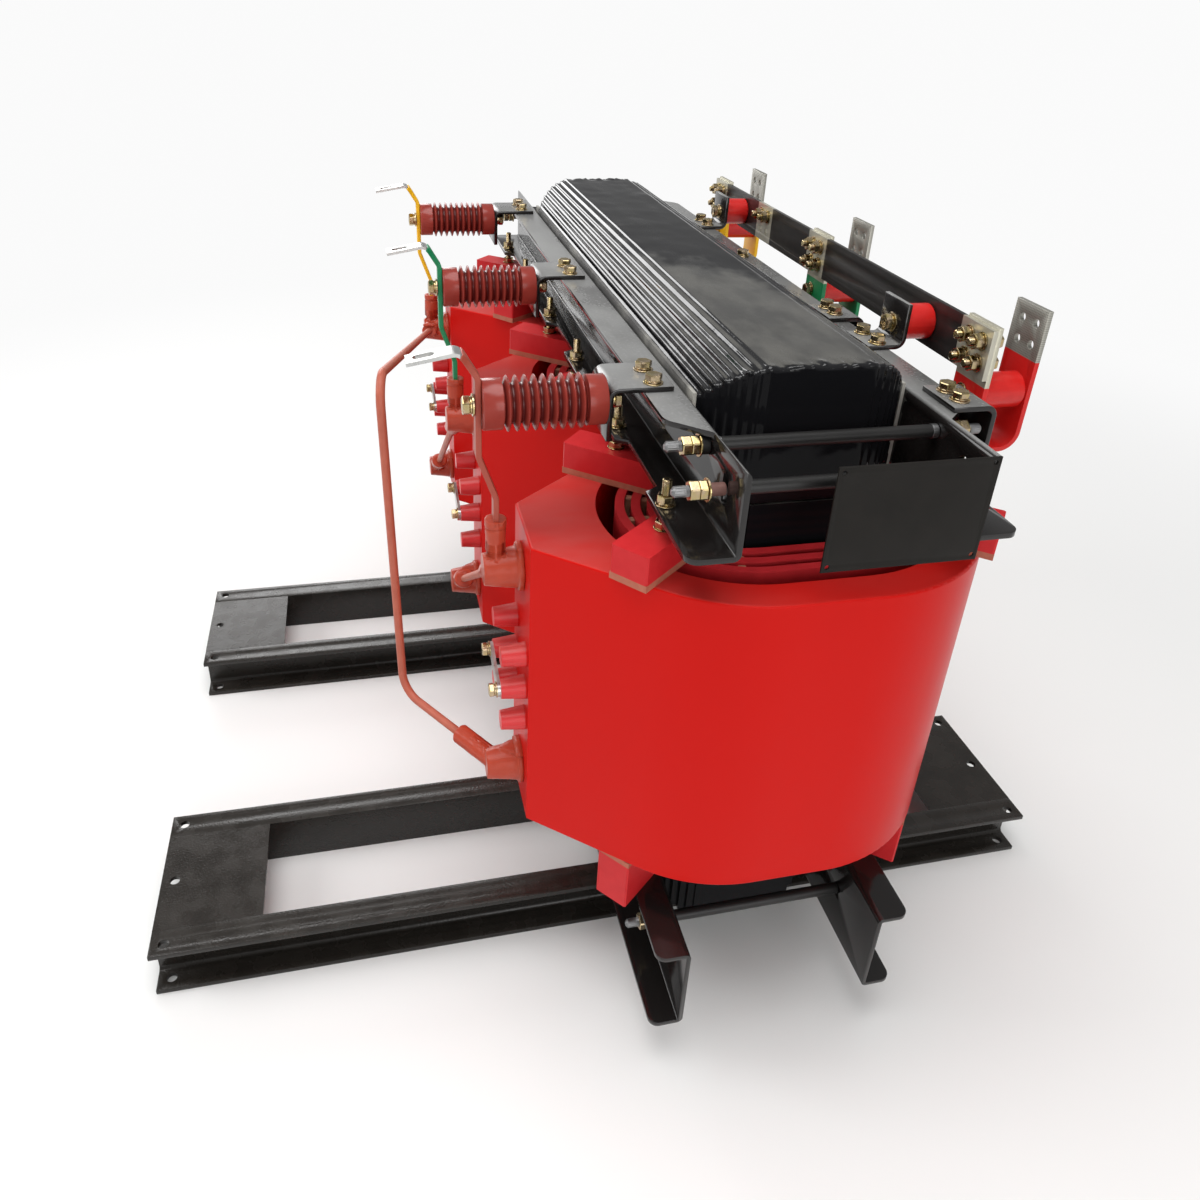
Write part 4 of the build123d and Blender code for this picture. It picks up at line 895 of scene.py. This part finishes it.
# Neutral bars: one from each winding, painted in the phase colour with a tinned end, bolted to
# a black bus that is left bare where they meet it and at an outgoing terminal between two of them.
neutral_finish = Finish("neutral_bar_paint", (0.56, 0.014, 0.012), 0.40, gloss=0.35)
neutral_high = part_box("neutral_bars")[1]
streak = neutral_finish.cloud(80.0, 6.0)
NEUTRAL_BARE = 0.072
BETWEEN_LIMBS = 0.2145
line = neutral_high.z - NEUTRAL_BARE
bare = neutral_finish.ramp(neutral_finish.along("Z"), line - PAINT_BLUR, line + PAINT_BLUR)
along_row = neutral_finish.along("X")
past_a = neutral_finish.ramp(along_row, -BETWEEN_LIMBS - PAINT_BLUR, -BETWEEN_LIMBS + PAINT_BLUR)
past_b = neutral_finish.ramp(along_row, BETWEEN_LIMBS - PAINT_BLUR, BETWEEN_LIMBS + PAINT_BLUR)
phase_paint = neutral_finish.mix(past_a, bar_colours["a"], bar_colours["b"])
phase_paint = neutral_finish.mix(past_b, phase_paint, bar_colours["c"])
metal = neutral_finish.mix(streak, (0.42, 0.40, 0.31), (0.58, 0.555, 0.45))
neutral_finish.colour(neutral_finish.mix(bare, phase_paint, metal))
neutral_finish.metallic(neutral_finish.maths("MULTIPLY", bare, TIN_SHEEN))
neutral_finish.relief(streak, 0.12, 0.0006)
break_edges("neutral_bars", neutral_finish, BAR_EDGE)

NEUTRAL_SHIFT = -0.012
JOINT_HALF = 0.0310
bus_paint = Finish("neutral_bus_enamel", (0.014, 0.013, 0.012), 0.34, gloss=0.35)
coat = bus_paint.cloud(60.0, 5.0)
enamel = bus_paint.mix(coat, (0.011, 0.010, 0.010), (0.026, 0.023, 0.021))
TERMINAL_X = -0.222
at_joint = 0.0
for joint_x in (TERMINAL_X, *(limb_x + NEUTRAL_SHIFT for limb_x in limbs.values())):
    from_joint = bus_paint.maths("SUBTRACT", bus_paint.along("X"), joint_x)
    from_joint = bus_paint.maths("ABSOLUTE", from_joint, 0.0)
    near = bus_paint.ramp(from_joint, JOINT_HALF, JOINT_HALF + 0.001, 1.0, 0.0)
    at_joint = bus_paint.maths("MAXIMUM", at_joint, near)
bus_tin = bus_paint.mix(coat, (0.42, 0.40, 0.33), (0.58, 0.56, 0.47))
bus_paint.colour(bus_paint.mix(at_joint, enamel, bus_tin))
bus_paint.metallic(bus_paint.maths("MULTIPLY", at_joint, TIN_SHEEN))
bus_paint.relief(coat, 0.12, 0.0006)
bus = break_edges("neutral_bus", bus_paint, BAR_EDGE)


def nut_set(across, tip):
    """Washers, a nut and the end of a thread, standing up from the origin."""
    nut = turned_disc(across / sqrt(3), across * 0.48, across * 0.24, 6, across * 0.05)
    rings = washers(across)
    end = thread(across * 0.30, across * 0.70, tip, across * 0.085)
    return join_up([*rings, nut, end])


JOINT_PITCH = 0.026
JOINT_TIP = 0.006
JOINT_HOLE = 0.0055
CUTTER_LENGTH = 0.040
bus_low, bus_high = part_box("neutral_bus")
bus_z = (bus_low.z + bus_high.z) / 2
bar_face = neutral_high.y
cutter = turned_disc(JOINT_HOLE, CUTTER_LENGTH, -CUTTER_LENGTH / 2, 24, 0.0005)
for across in (-JOINT_PITCH / 2, JOINT_PITCH / 2):
    cutter.matrix_world = facing_lv(TERMINAL_X + across, bus_low.y, bus_z - JOINT_PITCH / 2)
    bpy.context.view_layer.update()
    hole = bus.modifiers.new("terminal_hole", "BOOLEAN")
    hole.object = cutter
    bpy.context.view_layer.objects.active = bus
    apply_all(bus)
bpy.data.objects.remove(cutter)
head_places, nut_places = [], []
for across in (-JOINT_PITCH / 2, JOINT_PITCH / 2):
    bolt_x = TERMINAL_X + across
    nut_places.append(facing_hv(bolt_x, bus_low.y, bus_z + JOINT_PITCH / 2))
    head_places.append(facing_lv(bolt_x, bus_high.y, bus_z + JOINT_PITCH / 2))
    for limb_x in limbs.values():
        for rise in (-JOINT_PITCH / 2, JOINT_PITCH / 2):
            bolt_x = limb_x + NEUTRAL_SHIFT + across
            nut_places.append(facing_hv(bolt_x, bus_low.y, bus_z + rise))
            head_places.append(facing_lv(bolt_x, bar_face, bus_z + rise))
m10_nut = nut_set(M10_ACROSS, JOINT_TIP)
set_out("bus_joint_heads", m10_head, head_places, zinc)
set_out("bus_joint_nuts", m10_nut, nut_places, zinc)


# Standoffs: short posts of bright red resin between the bars, the bus and the brackets, each
# bolted through the bar that it carries.
standoff_resin = Finish("standoff_resin", (0.58, 0.012, 0.010), 0.26, gloss=0.4)
gel = standoff_resin.cloud(70.0, 4.0)
standoff_resin.colour(standoff_resin.mix(gel, (0.50, 0.010, 0.009), (0.64, 0.020, 0.016)))
standoff_resin.relief(gel, 0.08, 0.0006)
standoff_resin.wear("lv_standoffs")
PHASE_STANDOFF_SHIFT = -0.022
STANDOFF_RADIUS = 0.022
post_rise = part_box("lv_standoffs")[0].z + STANDOFF_RADIUS
post_places = [
    facing_hv(limb_x + PHASE_STANDOFF_SHIFT, bus_high.y, post_rise) for limb_x in limbs.values()
]
set_out("phase_standoff_bolts", m10_head, post_places, zinc)


# Low-voltage brackets: angles bolted to the clamp's top flange. Two of them stand up to carry
# the neutral bus on standoffs.
break_edges("lv_brackets", clamp_enamel, CUT_EDGE)
SUPPORT_X = 0.316
LV_BOLT_ROW = 0.157
FLANGE_BOLT_X, FLANGE_BOLT_ROW = -0.103, 0.150
bolt_pairs = ((-SUPPORT_X, 0.019), (SUPPORT_X, 0.019), (0.205, 0.013), (0.505, 0.013))
bracket_top = clamp_top + CLAMP_THICK
bracket_places = []
for centre_x, half in bolt_pairs:
    for way in (-1, 1):
        bolt_x = centre_x + way * half
        bracket_places.append(standing(bolt_x, core_y + LV_BOLT_ROW, bracket_top))
set_out("lv_bracket_bolts", m10_head, bracket_places, zinc)
flange_bolt = standing(FLANGE_BOLT_X, core_y + FLANGE_BOLT_ROW, clamp_top)
set_out("lv_flange_bolt", m10_head, [flange_bolt], zinc)

NEUTRAL_STANDOFF = 0.042
support_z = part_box("lv_standoffs")[1].z - STANDOFF_RADIUS
leg_face = bus_low.y - NEUTRAL_STANDOFF - CLAMP_THICK
support_places = [facing_hv(way * SUPPORT_X, leg_face, support_z) for way in (-1, 1)]
set_out("neutral_support_bolts", m12_head, support_places, zinc)
for pattern in (m10_head, m12_head, m10_nut):
    bpy.data.objects.remove(pattern)


# End plate: thin sheet steel in satin black with a hole at each corner, left bare.
# It is held on the end of the low-voltage clamp.
PLATE_EDGE = 0.0004
plate_paint = Finish("plate_black", (0.009, 0.008, 0.007), 0.50, gloss=0.14)
haze = plate_paint.cloud(30.0, 6.0)
plate_paint.colour(plate_paint.mix(haze, (0.007, 0.006, 0.005), (0.014, 0.012, 0.010)))
plate_paint.relief(plate_paint.cloud(300.0, 2.0), 0.08, 0.0004)
break_edges("rating_plate", plate_paint, PLATE_EDGE)


# Studio: a pale floor that fades into a white surround under a greyer ceiling, and four soft
# lamps, one over the object and one off the high-voltage side and each end of the row.
FLOOR_SIZE = 60.0
FADE_NEAR, FADE_FAR = 0.8, 3.2
WALL_FOOT, WALL_HEAD = 0.02, 0.17
CEILING = 0.34
FILL = 0.45
floor_z = cad_box[0][2]
bpy.ops.object.select_all(action="DESELECT")
bpy.ops.mesh.primitive_plane_add(size=FLOOR_SIZE, location=(0.0, 0.0, floor_z))
floor = bpy.context.object
floor.name = "studio_floor"
floor_paint = Finish("pale_floor", (0.86, 0.86, 0.85), 0.9, gloss=0.1)


def seen_rays(tree):
    """One for the rays that show the surround: straight, reflected or through glass."""
    rays = tree.nodes.new("ShaderNodeLightPath")
    seen = rays.outputs["Is Camera Ray"]
    for kind in ("Is Glossy Ray", "Is Transmission Ray"):
        either = tree.nodes.new("ShaderNodeMath")
        either.operation = "MAXIMUM"
        tree.links.new(seen, either.inputs[0])
        tree.links.new(rays.outputs[kind], either.inputs[1])
        seen = either.outputs["Value"]
    return seen


SURROUND = 0.96
length = floor_paint.put("ShaderNodeVectorMath", Vector=floor_paint.place)
length.operation = "LENGTH"
far_off = floor_paint.ramp(length.outputs["Value"], FADE_NEAR, FADE_FAR)
fade = floor_paint.maths("MULTIPLY", far_off, seen_rays(floor_paint.tree))
white = floor_paint.put("ShaderNodeEmission", Color=(1.0, 1.0, 1.0), Strength=SURROUND)
blend = floor_paint.tree.nodes.new("ShaderNodeMixShader")
floor_paint.feed(blend.inputs[0], fade)
floor_paint.tree.links.new(floor_paint.shader.outputs["BSDF"], blend.inputs[1])
floor_paint.tree.links.new(white.outputs["Emission"], blend.inputs[2])
finish_node = floor_paint.tree.nodes["Material Output"]
floor_paint.tree.links.new(blend.outputs["Shader"], finish_node.inputs["Surface"])
floor.data.materials.append(floor_paint.material)

world = bpy.data.worlds.new("studio_surround")
world.use_nodes = True
bpy.context.scene.world = world
sky = world.node_tree.nodes["Background"]
sky.inputs["Color"].default_value = (1.0, 1.0, 1.0, 1.0)
heading = world.node_tree.nodes.new("ShaderNodeTexCoord")
height = world.node_tree.nodes.new("ShaderNodeSeparateXYZ")
world.node_tree.links.new(heading.outputs["Generated"], height.inputs["Vector"])
wall = world.node_tree.nodes.new("ShaderNodeMapRange")
wall.inputs["From Min"].default_value = WALL_FOOT
wall.inputs["From Max"].default_value = WALL_HEAD
wall.inputs["To Min"].default_value = SURROUND
wall.inputs["To Max"].default_value = CEILING
world.node_tree.links.new(height.outputs["Z"], wall.inputs["Value"])
level = world.node_tree.nodes.new("ShaderNodeMix")
level.inputs["A"].default_value = FILL
world.node_tree.links.new(seen_rays(world.node_tree), level.inputs["Factor"])
world.node_tree.links.new(wall.outputs["Result"], level.inputs["B"])
world.node_tree.links.new(level.outputs["Result"], sky.inputs["Strength"])


def soft_lamp(name, place, target, size, power):
    """A square soft box aimed at a point."""
    lamp = bpy.data.lights.new(name, "AREA")
    lamp.size = size
    lamp.energy = power
    holder = bpy.data.objects.new(name, lamp)
    bpy.context.scene.collection.objects.link(holder)
    aim = Vector(target) - Vector(place)
    holder.rotation_euler = aim.to_track_quat("-Z", "Y").to_euler()
    holder.location = place


soft_lamp("overhead_box", (0.5, -0.4, 3.8), (0.0, 0.1, 0.5), 2.6, 85.0)
soft_lamp("hv_side_box", (-0.8, -3.6, 2.6), (0.0, 0.0, 0.6), 1.8, 55.0)
soft_lamp("far_end_box", (-4.5, -1.15, 2.1), (0.0, 0.0, 0.8), 2.2, 70.0)
soft_lamp("near_end_fill", (4.2, 0.4, 1.6), (0.0, 0.0, 0.5), 2.6, 60.0)


# Camera: above the near end of the row of coils, a little towards the high-voltage side,
# looking down along the core.
CAMERA_PLACE = Vector((1.3473, -0.3242, 1.2284))
CAMERA_YAW = radians(-14.4)
CAMERA_PITCH = radians(28.5)
CAMERA_ROLL = radians(2.9)
CAMERA_LENS = 28.686
CAMERA_SHIFT = (0.0083, -0.0833)
camera = bpy.data.objects.new("photo_camera", bpy.data.cameras.new("photo_camera"))
bpy.context.scene.collection.objects.link(camera)
forward = Matrix.Rotation(CAMERA_YAW, 3, "Z") @ Vector((-1.0, 0.0, 0.0))
side = forward.cross(Vector((0.0, 0.0, 1.0)))
forward = Matrix.Rotation(-CAMERA_PITCH, 3, side) @ forward
upright = side.cross(forward)
roll = Matrix.Rotation(-CAMERA_ROLL, 3, forward)
side = roll @ side
upright = roll @ upright
axes = Matrix((side, upright, -forward)).transposed()
camera.matrix_world = Matrix.Translation(CAMERA_PLACE) @ axes.to_4x4()
camera.data.sensor_width = 36.0
camera.data.lens = CAMERA_LENS
camera.data.shift_x, camera.data.shift_y = CAMERA_SHIFT
camera.data.clip_end = 60.0
bpy.context.scene.camera = camera

bpy.context.scene.view_settings.view_transform = "Standard"
